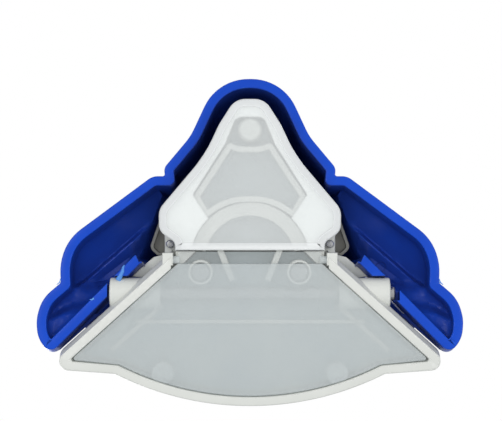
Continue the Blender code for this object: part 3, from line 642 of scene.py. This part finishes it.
def build_tray():
    """The white moulding: drafted wall with a rounded rim, paper table, bosses, ribs and posts."""
    bm = bmesh.new()
    rings = []
    steps = edge_steps(0.0, DECK_JOIN_Z, 0.4, 0.0)[:5]
    steps += [(0.0, z) for z in (0.9, 1.6, 2.3, 3.0, 3.8, 5.0, DECK_JOIN_Z)]
    for inset, z in steps:
        flare = WALL_FLARE * smooth((z - 0.5) / 3.6)
        outer = fan_path(0.08 + inset, flare)
        inner = fan_path(WALL - inset + 0.35 * z / DECK_Z)
        rings.append(ring_of(bm, mirrored(outer) + mirrored(inner)[::-1], z))
    walls(bm, rings)
    cap(bm, [rings[0]])
    cap(bm, [rings[-1]])
    soft_slab([deck_outline(), blade_outline(0.35)], DECK_Z, TABLE_Z, low=0.5, high=0.6, bm=bm)
    web_edge = nose_path(1.58)[:-1] + [(17.0, -2.2), (14.5, -2.2), (0.0, -2.2)]
    web = soft_slab([mirrored(web_edge), mirrored(web_hole())], 1.75, DECK_JOIN_Z, low=0.25, high=0.02)
    # The nose web takes the brighter white, which is painted light.
    piece("nose_web", web, "base", PAINTED_LIGHT_WHITE, ["base_frame"])
    pocket_loops = [mirrored(refit(POCKET_CORNERS, inset)) for inset in (0.0, 1.4)]
    soft_slab(pocket_loops, 3.8, DECK_JOIN_Z, low=0.3, high=0.02, bm=bm)
    ledge = chute_arc(CHUTE_R - 0.05, 12.0, 168.0) + chute_arc(11.2, 168.0, 12.0)
    soft_slab([ledge], 4.8, DECK_JOIN_Z, low=0.3, high=0.02, bm=bm)
    turned([(1.55, 2.6), (2.3, 2.6), (2.5, 2.8), (3.0, 5.0), (3.0, DECK_JOIN_Z)], (0, PEG_Y, 0), bm=bm)
    wall_strip([(-28.7, -20.2), (28.7, -20.2)], 1.0, 9.8, DECK_JOIN_Z, bm=bm)
    for side in (1, -1):
        reach = BOSS_END_X - BOSS_ROOT_X
        crown = [(BOSS_R, 0.0)]
        for k in range(9):
            a = math.pi / 2 * k / 8
            crown.append((BOSS_R - 0.45 * (1 - math.cos(a)), reach - 0.75 + 0.45 * math.sin(a)))
        crown += [(2.2, reach - 0.1), (0.8, reach)]
        turned(crown, (side * BOSS_ROOT_X, AXLE_Y, AXLE_Z), side, 64, bm=bm)
        for path, thickness, low, high in (
            (((7.5, -1.9), (4.3, -9.8)), 1.5, 3.9, DECK_JOIN_Z),
            (((21.8, -16.0), (34.6, -27.5)), 1.2, 10.2, DECK_JOIN_Z),
            (((23.0, GUIDE_LINE - 23.0), (45.0, GUIDE_LINE - 45.0)), 0.6, 13.0, 15.3),
        ):
            wall_strip(on_side(side, path), thickness, low, high, bm=bm)
        lug = on_side(side, ((18.8, -6.0), (21.4, -6.0), (21.4, -2.9), (18.8, -2.9)))
        soft_slab([lug], 0.2, 5.0, low=0.3, high=0.3, bm=bm)
        corner = on_side(side, ((13.3, -2.5), (18.3, -2.5), (18.3, -5.6), (16.4, -5.6)))
        soft_slab([corner], 4.2, DECK_JOIN_Z, low=0.2, high=0.02, bm=bm)
        ring = [(2.5, 4.7), (2.5, 2.2), (2.9, 2.2), (3.05, 2.4)]
        ring += [(3.05, DECK_JOIN_Z), (1.5, DECK_JOIN_Z), (1.5, 4.7)]
        turned_ring(ring, (side * SCREW_X, SCREW_Y, 0), bm)
        wedge = on_side(side, ((20.9, -3.4), (24.0, -4.2), (27.3, -7.0), (29.3, -9.0), (24.4, -9.7)))
        soft_slab([wedge], 11.4, 13.9, low=0.2, high=0.2, bm=bm)
        post = [(1.9, 3.2), (2.5, 3.2), (2.7, 3.4), (2.7, DECK_JOIN_Z)]
        turned(post, (side * STUD_X, STUD_Y, 0), bm=bm)
    piece("white_tray", bm, "base", WHITE, ["base_frame"])

    # Darker sheets under the deck, for the shade that the photograph shows behind the covers
    shade = soft_slab([mirrored(offset_half(web_hole(), 0.4))], 11.2, 11.6, low=0.1, high=0.1)
    window = [(-16.3, -5.9), (16.3, -5.9), (13.2, -2.8), (-13.2, -2.8)]
    soft_slab([window], 10.2, 10.6, low=0.1, high=0.1, bm=shade)
    fan = fan_path(WALL + 0.9)
    fan = [(0.0, -6.2), (fan[0][0] - 1.0, -6.2)] + [p for p in fan if p[1] < -7.0]
    soft_slab([mirrored(fan)], 11.2, 11.6, low=0.1, high=0.1, bm=shade)
    piece("shaded_floor", shade, "base", SHADED_WHITE, ["base_frame"])


def build_nose_cover():
    """A frosted dish. Its floor meets its sides in a soft edge, and its neck end is open."""
    def loop(k):
        return mirrored(nose_path(k)[:-1] + [(NECK_X - k, NECK_Y + k), (0.0, NECK_Y + k)])

    bm = bmesh.new()
    rings = [ring_of(bm, loop(d), z) for d, z in [(1.8, FLOOR_Z)] + edge_steps(FLOOR_Z, 11.6, 0.55, 0.2, 5)]
    walls(bm, rings)
    for face in bm.faces:
        face.material_index = 1
    inner = [ring_of(bm, loop(1.5 + d), z) for d, z in reversed(edge_steps(1.6, 11.6, 0.4, 0.01, 4))]
    walls(bm, rings[-1:] + inner)
    cap(bm, [rings[0]])
    cap(bm, [inner[-1]])
    cover = piece("frosted_nose_cover", bm, "base", FROSTED, ["nose_cover"])
    cover.data.materials.append(FROSTED_EDGE)
    carve(cover, [cutter(block(-13.0, 13.0, -4.0, 0.5, 2.4, 13.0))])


def build_door():
    """The frosted fan panel with its low rim, snap studs and hinge trunnions."""
    bm = bmesh.new()
    rings = [ring_of(bm, mirrored(door_half(d)), z) for d, z in edge_steps(FLOOR_Z, 2.4, 0.35, 0.15)]
    inner_steps = reversed(edge_steps(1.5, 2.4, 0.25, 0.01))
    inner = [ring_of(bm, mirrored(door_half(1.1 + d)), z) for d, z in inner_steps]
    walls(bm, rings + inner)
    cap(bm, [rings[0]])
    cap(bm, [inner[-1]])
    stud = [(2.6, 1.3), (2.6, 1.8), (2.4, 2.0), (1.5, 2.1), (1.5, 5.6), (1.35, 5.8), (1.35, 6.6), (1.5, 6.8)]
    stud.append((1.2, 7.6))
    trunnion = [(0.95, 0.0), (0.95, 2.6), (0.75, 2.8)]
    for side in (1, -1):
        turned(stud, (side * STUD_X, STUD_Y, 0), bm=bm)
        turned(trunnion, (side * 17.2, DOOR_HINGE.y / MM, DOOR_HINGE.z / MM), side, 32, bm=bm)
    piece("frosted_chip_door", bm, "door", DOOR_FROSTED, ["chip_door"])

    strip = soft_slab([[(-17.5, -5.45), (17.5, -5.45), (17.5, -2.6), (-17.5, -2.6)]], 1.0, 1.5, 0.1, 0.1)
    piece("clear_hinge_strip", strip, "door", CLEARER, ["chip_door"])


# ---------------------------------------------------------------- steel and inner pieces
def build_pin():
    """The axle. The end that shows has fine splines."""
    bm = bmesh.new()
    lower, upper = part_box("axle_pin")[0].x / MM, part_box("axle_pin")[1].x / MM
    loops = []
    sides = 72
    profile = ((lower, 1.25), (lower + 0.35, 1.62), (lower + 1.6, 1.62),
               (lower + 1.8, 1.7), (upper - 0.3, 1.7), (upper, 1.4))
    for x, radius in profile:
        splined = x < lower + 1.7
        ring = []
        for k in range(sides):
            a = 2 * math.pi * k / sides
            r = radius + (0.06 if splined and k % 3 == 0 else 0.0)
            ring.append(bm.verts.new((x * MM, AXLE.y + r * math.cos(a) * MM, AXLE.z + r * math.sin(a) * MM)))
        loops.append(ring)
    walls(bm, loops)
    bm.faces.new(loops[0])
    bm.faces.new(loops[-1])
    piece("splined_axle", bm, "base", PLATED_STEEL, ["axle_pin"], smooth=40)


def build_screw(node, x, y, top):
    """A cross-recess pan head screw, head down, with a threaded shank."""
    profile = [(0.6, 2.9)]
    for k in range(7):
        a = math.pi / 2 * k / 6
        profile.append((1.75 + 0.5 * math.sin(a), 3.45 - 0.55 * math.cos(a)))
    profile += [(2.25, 4.1), (2.1, 4.3), (1.1, 4.3)]
    z = 4.6
    while z < top - 0.9:
        profile += [(1.0, z), (1.25, z + 0.25), (1.0, z + 0.5)]
        z += 0.55
    profile.append((0.5, top))
    bm = turned(profile, (x, y, 0))
    screw = piece(node + "_threaded", bm, "base", PLATED_STEEL, [node])
    carve(screw, [cutter(block(x - 1.3, x + 1.3, y - 0.25, y + 0.25, 2.0, 3.5)),
                  cutter(block(x - 0.25, x + 0.25, y - 1.3, y + 1.3, 2.0, 3.5))])


def build_rivet(side, label):
    """A rivet seen beside the neck. Its head is above the housing's foot."""
    profile = [(0.35, 10.0), (0.8, 10.08), (1.0, 10.35), (1.0, 18.8), (1.7, 18.95)]
    profile += [(1.6, 19.3), (1.2, 19.55), (0.5, 19.6)]
    bm = turned(profile, (side * RIVET_X, RIVET_Y, 0))
    piece("bright_rivet_" + label, bm, "base", PLATED_STEEL, ["housing_rivet_" + label])


def build_housing():
    """The grey housing over the paper slot, with its two hollow leaf-shaped feet."""
    body = mirrored(rounded([
        (0, 31.4, 0),
        (5.0, 31.4, 4),
        (11.9, 18.6, 4),
        (17.9, 11.6, 2),
        (17.9, -2.2, 1.5),
        (0, -2.2, 0),
    ]))
    bm = soft_slab([body], 16.7, 26.0, low=0.2, high=0.8)
    housing = piece("grey_housing", bm, "base", GREY, ["punch_housing"])
    above = 30.0
    blade_way = soft_slab([blade_outline(0.6)], 15.0, above, 0.01, 0.01)
    arm_slot = block(-16.8, 16.8, 8.4, 13.6, 22.4, above)
    holder_room = block(-9.0, 9.0, 8.0, 20.4, 22.0, above)
    wells = [turned([(2.6, 18.3), (2.6, above)], (side * SPRING_X, SPRING_Y, 0)) for side in (1, -1)]
    carve(housing, [cutter(bm) for bm in [blade_way, arm_slot, holder_room] + wells])
    leaf_right = rounded([
        (17.9, 6.3, 0),
        (22.0, 7.2, 2.5),
        (25.2, -2.0, 1.8),
        (22.6, -4.4, 1.6),
        (19.4, -2.2, 0.4),
        (17.9, 1.0, 0),
    ])
    for side in (1, -1):
        leaf = on_side(side, leaf_right)
        foot = bmesh.new()
        outer = [ring_of(foot, offset(leaf, d), z) for d, z in edge_steps(14.3, 16.9, 0.25, 0.3)]
        inner = [ring_of(foot, offset(leaf, 0.75 + d), z) for d, z in ((0.0, 14.3), (0.1, 16.3))]
        walls(foot, outer)
        walls(foot, inner)
        cap(foot, [outer[-1]])
        cap(foot, [inner[-1]])
        cap(foot, [outer[0], inner[0]])
        name = "housing_foot_" + ("right" if side > 0 else "left")
        piece(name, foot, "base", GREY, ["punch_housing"])


def build_springs():
    """Each return spring, its end turns wound close."""
    wire = 0.35
    turns, per_turn = 6.5, 28
    close_turns, close_rise = 0.8, 0.11
    count = int(turns * per_turn)
    for label in ("left", "right"):
        node = "return_spring_" + label
        low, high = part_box(node)
        radius = (high.x - low.x) / 2 / MM - wire
        x, y = (low.x + high.x) / 2 / MM, SPRING_Y
        bottom, top = low.z / MM + wire, high.z / MM - wire
        path = []
        for i in range(count + 1):
            turn = turns * i / count
            first = min(1.0, turn / close_turns)
            middle = min(1.0, max(0.0, (turn - close_turns) / (turns - 2 * close_turns)))
            last = max(0.0, (turn - turns + close_turns) / close_turns)
            rise = close_rise * (first + last) + (1 - 2 * close_rise) * middle
            a = 2 * math.pi * turn
            path.append((x + radius * math.cos(a), y + radius * math.sin(a), bottom + (top - bottom) * rise))
        bm = swept(path, wire, sides=10)
        coil = piece("coil_" + label, bm, "base", SPRING_STEEL, [node], smooth=60)
        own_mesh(coil)


# ---------------------------------------------------------------- handle
HANDLE_CORNERS = (
    (0, 40.55, 0, "out"),
    (8.15, 40.55, 12, "out"),
    (14.75, 26.0, 14, "in"),
    (21.3, 18.0, 2.4, "out"),
    (21.1, 15.9, 0.5, "in"),
    (24.15, 15.9, 4.0, "out"),
    (44.8, 0.3, 12, "out"),
    (46.8, -6.0, 14, "out"),
    (46.5, -10.7, 0.8, "in"),
    (51.0, -14.6, 9, "out"),
    (52.4, -19.6, 10, "out"),
    (51.95, -24.6, 7.2, "out"),
    (48.8, -28.2, 2.2, "out"),
    (26.9, -5.8, 0.8, "in"),
    (25.6, -5.9, 0, "in"),
    (24.2, -6.0, 0, "in"),
    (12.0, -7.6, 20, "out"),
    (0, -7.6, 0, "out"),
)


def handle_outline(inset=0.0):
    """The whole handle seen from above, or the same moved inwards."""
    return mirrored(refit(HANDLE_CORNERS, inset))


class Outline:
    """A closed loop that answers how far a point is from it, and whether it is inside."""

    def __init__(self, loop):
        self.edges = []
        for (ax, ay), (bx, by) in zip(loop, loop[1:] + loop[:1]):
            dx, dy = bx - ax, by - ay
            self.edges.append((ax, ay, dx, dy, max(1e-12, dx * dx + dy * dy)))

    def distance(self, x, y):
        best = 1e9
        for ax, ay, dx, dy, square in self.edges:
            t = ((x - ax) * dx + (y - ay) * dy) / square
            t = 0.0 if t < 0 else 1.0 if t > 1 else t
            best = min(best, (x - ax - t * dx) ** 2 + (y - ay - t * dy) ** 2)
        return math.sqrt(best)

    def holds(self, x, y):
        hit = False
        for ax, ay, dx, dy, _ in self.edges:
            if (ay > y) != (ay + dy > y) and x < dx * (y - ay) / dy + ax:
                hit = not hit
        return hit


def hump_half(y):
    """Half width of the raised middle."""
    return HUMP_HALF + HUMP_FLARE * max(0.0, HUMP_FLARE_Y - y)


def bevel_depth(x, y):
    """How far in from a wing's outer edge a point is."""
    return (WING_CORNER[0] - abs(x)) * WING_NORMAL[0] + (WING_CORNER[1] - y) * WING_NORMAL[1]


def lobe_line(x):
    """Where the step up to a lobe's floor starts, a shallow bow."""
    return LOBE_STEP_Y - 0.05 * (abs(x) - 42.0) ** 2


def roof(x, y):
    """Height of the handle's top, before its edges are rounded."""
    across = abs(x)
    hump = HUMP_Z - 0.011 * (y - 10) ** 2 - 0.008 * across ** 2
    bevel = bevel_depth(x, y)
    slope = (WING_Z - WING_EDGE_Z) / WING_BEVEL
    wing = min(WING_EDGE_Z + slope * bevel, WING_Z + 0.03 * (bevel - WING_BEVEL))
    lobe = LOBE_Z - 0.012 * ((across - LOBE_CENTRE[0]) ** 2 + (y - LOBE_CENTRE[1]) ** 2)
    wing += (min(lobe, wing) - wing) * smooth((-8 - y) / 6)
    return wing + (hump - wing) * smooth((hump_half(y) - across) / HUMP_STEP + 0.5)


def rim_height(x, y):
    """Height of the shell's lower edge: low outside and along each rib, high across the neck."""
    if y > 0:
        return RIM_Z
    off_middle = min(2.0, abs(abs(x) - 22.9 + RIB_SLOPE * y) / 1.4)
    along = 0.7 * abs(x) - 0.714 * y - 0.45 * off_middle ** 2
    return RIM_Z + (FRONT_RIM_Z - RIM_Z) * smooth(RIB_START + 0.5 - along)


def crease_path(side):
    """The line where a wing's flat top meets its sloped band."""
    points = []
    for k in range(25):
        x = 23.0 + k * 0.85
        y = WING_CORNER[1] - (WING_BEVEL - (WING_CORNER[0] - x) * WING_NORMAL[0]) / WING_NORMAL[1]
        if y > -9.0 and x > hump_half(y) + HUMP_STEP / 2:
            points.append((side * x, y))
    return points


def step_paths(side):
    """Lines along the step between the raised middle and a wing."""
    places = [14.0 - 1.4 * k for k in range(15)]
    return [[(side * (hump_half(y) + shift * HUMP_STEP), y) for y in places]
            for shift in (-0.5, -0.3, -0.1, 0.1, 0.3, 0.5)]


def sheet(loop, height, rings, marks, pitch):
    """A triangulated surface over an outline: its edge points come first, in order."""
    outline = Outline(loop)
    points = list(loop)
    edges = [(i, (i + 1) % len(loop)) for i in range(len(loop))]

    def add_line(line, closed=False):
        kept = [p for p in line if outline.holds(*p) and outline.distance(*p) > 0.25]
        if len(kept) < len(line) and closed:
            return
        start = len(points)
        points.extend(kept)
        edges.extend((start + k, start + k + 1) for k in range(len(kept) - 1))
        if closed:
            edges.append((start + len(kept) - 1, start))

    valley = [10.5 - 1.2 * i for i in range(18)]
    bow = [34.0 + 1.5 * i for i in range(12)]
    for side in (1, -1):
        add_line(crease_path(side))
        for k in range(5):
            add_line([(side * (VALLEY_X - VALLEY_SLOPE * y - VALLEY_STEP * k / 4), y) for y in valley])
            add_line([(side * x, lobe_line(x) - LOBE_STEP * k / 4) for x in bow])
        for path in step_paths(side):
            add_line(path)
    for x, y, radius in marks:
        for r in (radius, radius + 0.12):
            add_line(arc((x, y), r, 0, 345, 23), closed=True)
    for depth in rings:
        for p in offset(loop, depth):
            if outline.holds(*p) and abs(outline.distance(*p) - depth) < 0.06 * depth + 0.01:
                points.append(p)
    for i in range(-int(54 / pitch), int(54 / pitch) + 1):
        for j in range(-int(30 / pitch), int(42 / pitch) + 1):
            x, y = (i + 0.5 * (j % 2)) * pitch, j * pitch
            if outline.holds(x, y) and outline.distance(x, y) > rings[-1] + pitch * 0.5:
                if all(math.hypot(x - mx, y - my) > r + 0.4 for mx, my, r in marks):
                    points.append((x, y))
    verts, _, faces, _, _, _ = delaunay_2d_cdt([Vector(p) for p in points], edges, [], 1, 1e-5)
    return [(v.x, v.y, height(v.x, v.y, outline)) for v in verts], faces


def beside_tray(side, shift, x0, x1):
    """A line along the wing's inner side, shift millimetres outside its tray-side face."""
    return [(side * (x + 1.4 * shift), (21.2 - x) / RIB_SLOPE) for x in (x0, x1)]


def shoulder(x, y, outline, radius):
    """How far the rounded edge has dropped at a point."""
    depth = min(outline.distance(x, y), radius)
    return EDGE_FALL * (radius - math.sqrt(max(0.0, radius ** 2 - (radius - depth) ** 2)))


def build_handle():
    """The blue shell and its guard strips, made level and turned up about the axle to where they rest."""
    outer, inner = split_long([handle_outline(), handle_outline(SHELL_WALL)], 1.6)
    pitch = 1.3

    def top_height(x, y, outline):
        return roof(x, y) - shoulder(x, y, outline, EDGE_ROUND)

    def under_height(x, y, outline):
        dent = -LOBE_DENT * smooth((lobe_line(x) - y) / LOBE_STEP)
        inner_band = smooth((VALLEY_X - VALLEY_SLOPE * y - abs(x)) / VALLEY_STEP)
        inner_band *= smooth((abs(x) - hump_half(y) - 1.0) / 3.0) * smooth((y + 14.0) / 4.0)
        dent -= BAND_DENT * inner_band
        for mx, my, r in EJECTOR_MARKS:
            if math.hypot(x - mx, y - my) < r + 0.03:
                dent += EJECTOR_DEPTH
        return roof(x, y) - SHELL_ROOF - shoulder(x, y, outline, EDGE_ROUND - 2) + dent

    bm = bmesh.new()
    borders = []
    for loop, height, depths, marks in (
        (outer, top_height, (0.17, 0.67, 1.46, 2.5, 3.7, 5.0), ()),
        (inner, under_height, (0.15, 0.6, 1.3, 2.1, 3.0), EJECTOR_MARKS),
    ):
        verts, faces = sheet(loop, height, depths, marks, pitch)
        made = [bm.verts.new((x * MM, y * MM, z * MM)) for x, y, z in verts]
        for face in faces:
            bm.faces.new([made[i] for i in face])
        borders.append(made[:len(loop)])

    def rim_ring(loop, way, d, lift):
        moved = offset(loop, way * d * RIM_ROUND)
        return [bm.verts.new((x * MM, y * MM, (rim_height(*p) + lift * RIM_ROUND) * MM))
                for (x, y), p in zip(moved, loop)]

    quarter = ((0.0, 1.0), (0.076, 0.617), (0.293, 0.293), (0.617, 0.076), (1.0, 0.0))
    rings = [borders[0]]
    rings += [rim_ring(outer, 1, d, lift) for d, lift in quarter]
    rings += [rim_ring(inner, -1, d, lift) for d, lift in reversed(quarter)]
    rings.append(borders[1])
    walls(bm, rings)
    tilt = Matrix.Translation(AXLE) @ Matrix.Rotation(REST_TILT, 4, "X") @ Matrix.Translation(-AXLE)
    shell = piece("blue_handle_shell", bm, "handle", BLUE, ["press_handle"],
                  smooth=30, matrix=tilt)
    cuts = []
    for side in (1, -1):
        reach = BOSS_END_X + BORE_GAP - BOSS_ROOT_X
        profile = [(BOSS_R + BORE_GAP, 0.0), (BOSS_R + BORE_GAP, reach)]
        cuts.append(cutter(turned(profile, (side * BOSS_ROOT_X, AXLE_Y, AXLE_Z), side, 64)))
        x0, x1 = sorted((side * BOSS_ROOT_X, side * (BOSS_END_X + BORE_GAP)))
        half = BOSS_R + FORK_GAP
        cuts.append(cutter(block(x0, x1, AXLE_Y - half, AXLE_Y + half, -2.0, AXLE_Z), tilt))
    pin_way = block(PIN_ROOM_X, -BOSS_ROOT_X, AXLE_Y - PIN_ROOM, AXLE_Y + PIN_ROOM, -2.0, AXLE_Z + PIN_ROOM)
    cuts.append(cutter(pin_way, tilt))
    carve(shell, cuts)
    shell.data.set_sharp_from_angle(angle=math.radians(30))

    guard = bmesh.new()
    top = GUARD_Z + GUARD_THICK
    for side in (1, -1):
        wall_strip(beside_tray(side, 0.9, 27.4, 39.8), 1.2, 10.0, top - 0.2, bm=guard)
        soft_slab([band(beside_tray(side, -0.7, 27.6, 41.8), 2.6)], GUARD_Z, top, 0.4, 0.5, bm=guard)
        flange = on_side(side, ((37.15, -17.6), (47.15, -26.6), (47.75, -26.6), (39.1, -17.6)))
        soft_slab([flange], 10.6, 11.4, 0.1, 0.1, bm=guard)
    piece("blue_gap_guard", guard, "handle", BLUE, ["press_handle"], matrix=tilt)
    return tilt


def build_flash(tilt):
    """Stress-whitened burrs left by the moulding and the snap fit, at the forks and the notches; their pale
    colour is also painted glint and reflection.
    """
    hook = [(32.4, -10.0, 4.2), (31.9, -9.0, 3.9), (31.3, -8.0, 3.7), (31.2, -7.0, 3.6), (30.9, -6.3, 3.6)]
    bm = swept(hook, lambda t: 0.62 * (1 - t) ** 0.7 + 0.10, sides=10)
    burr = [(38.3, -14.6, 3.6), (38.9, -15.0, 3.5), (39.3, -14.8, 3.45)]
    swept(burr, lambda t: 0.28 * (1 - 0.7 * t), bm=bm, sides=8)
    # The pale lines at the notches are painted reflection of the rounded edge there.
    for side, size in ((1, 0.16), (-1, 0.20)):
        line = [(side * 46.6, -9.7, 3.8), (side * 46.75, -10.6, 3.7), (side * 47.5, -11.2, 3.75)]
        swept(line, lambda t, s=size: s * (0.4 + 0.6 * math.sin(math.pi * t)), bm=bm, sides=8)
    piece("moulding_flash_and_painted_glint", bm, "handle", WHITENED_BLUE_AND_GLINT, matrix=tilt)


# ---------------------------------------------------------------- studio
def floor_material():
    """A pale floor that shows from above only, so the underside can be seen through it."""
    n = Nodes("studio_floor")
    n.shader.inputs["Roughness"].default_value = 0.9
    n.link(n.blend(n.noise(8.0), (0.83, 0.83, 0.83), (0.86, 0.86, 0.86)), n.shader.inputs["Base Color"])
    side = n.node("ShaderNodeNewGeometry").outputs["Backfacing"]
    clear = n.node("ShaderNodeBsdfTransparent")
    mix = n.node("ShaderNodeMixShader")
    n.link(side, mix.inputs["Fac"])
    n.link(n.shader.outputs["BSDF"], mix.inputs[1])
    n.link(clear.outputs["BSDF"], mix.inputs[2])
    n.link(mix.outputs["Shader"], n.output.inputs["Surface"])
    return n.mat


def build_studio():
    """The floor, the world's light and five lamps."""
    bm = bmesh.new()
    bmesh.ops.create_grid(bm, x_segments=2, y_segments=2, size=1.5)
    mesh = bpy.data.meshes.new("studio_floor")
    bm.to_mesh(mesh)
    bm.free()
    mesh.materials.append(floor_material())
    floor = bpy.data.objects.new("studio_floor", mesh)
    floor.location.z = -0.0002
    bpy.context.collection.objects.link(floor)
    floor.visible_diffuse = False
    floor.visible_glossy = False
    floor.visible_transmission = False
    floor.visible_shadow = False

    world = bpy.data.worlds.new("studio")
    world.use_nodes = True
    bpy.context.scene.world = world
    tree = world.node_tree
    light = tree.nodes["Background"]
    light.inputs["Color"].default_value = (0.97, 0.985, 1.0, 1.0)
    light.inputs["Strength"].default_value = 0.57
    seen = tree.nodes.new("ShaderNodeBackground")
    seen.inputs["Color"].default_value = (1.0, 1.0, 1.0, 1.0)
    path = tree.nodes.new("ShaderNodeLightPath")
    mix = tree.nodes.new("ShaderNodeMixShader")
    tree.links.new(path.outputs["Is Camera Ray"], mix.inputs["Fac"])
    tree.links.new(light.outputs["Background"], mix.inputs[1])
    tree.links.new(seen.outputs["Background"], mix.inputs[2])
    tree.links.new(mix.outputs["Shader"], tree.nodes["World Output"].inputs["Surface"])

    middle = Vector((0.0, 0.0, 0.015))
    for name, place, size, watts in (
        ("below_front", (0.0, 0.0, -0.80), 0.50, 2.70),
        ("below_left", (0.30, 0.22, -0.50), 0.16, 0.55),
        ("below_right", (-0.34, 0.10, -0.42), 0.20, 0.43),
        ("key_above", (0.35, -0.40, 0.60), 0.35, 3.6),
        ("fill_above", (-0.50, 0.30, 0.45), 0.50, 2.0),
    ):
        lamp = bpy.data.lights.new(name, "AREA")
        lamp.shape = "DISK"
        lamp.size = size
        lamp.energy = watts
        obj = bpy.data.objects.new(name, lamp)
        obj.location = place
        obj.rotation_euler = (middle - Vector(place)).to_track_quat("-Z", "Y").to_euler()
        obj.visible_glossy = name != "below_front"
        bpy.context.collection.objects.link(obj)
    bpy.context.scene.view_settings.view_transform = "Standard"


def build_camera():
    """Straight up at the underside, nose at the top of the picture."""
    distance = 0.50
    data = bpy.data.cameras.new("camera")
    data.sensor_width = 36.0
    frame_width = 0.1224      # how much of the base plane the picture's width takes in
    data.lens = 36.0 * distance / frame_width
    data.clip_start = 0.01
    data.clip_end = 10.0
    cam = bpy.data.objects.new("camera", data)
    cam.location = (-0.00027, 0.00745, -distance)
    cam.rotation_euler = (math.pi, 0.0, math.pi)
    bpy.context.collection.objects.link(cam)
    bpy.context.scene.camera = cam


def finish_cad_nodes():
    """Better materials on the CAD pieces that stay as they are."""
    looks = {
        "die_plate": TOOL_STEEL, "stripper_plate": TOOL_STEEL, "punch_blade": TOOL_STEEL,
        "punch_holder": BLACK, "pressure_shoe": BLACK, "plunger_cap": GREY,
        "punch_screw": PLATED_STEEL, "guide_pin_left": PLATED_STEEL, "guide_pin_right": PLATED_STEEL,
    }
    for node, mat in looks.items():
        mesh = frame["nodes"][node].data
        mesh.materials.clear()
        mesh.materials.append(mat)


build_tray()
build_nose_cover()
build_door()
build_pin()
build_screw("nose_screw", 0.0, PEG_Y, 21.0)
build_screw("die_screw_right", SCREW_X, SCREW_Y, 12.7)
build_screw("die_screw_left", -SCREW_X, SCREW_Y, 12.7)
build_rivet(1, "right")
build_rivet(-1, "left")
build_housing()
build_springs()
build_flash(build_handle())
finish_cad_nodes()
build_studio()
build_camera()
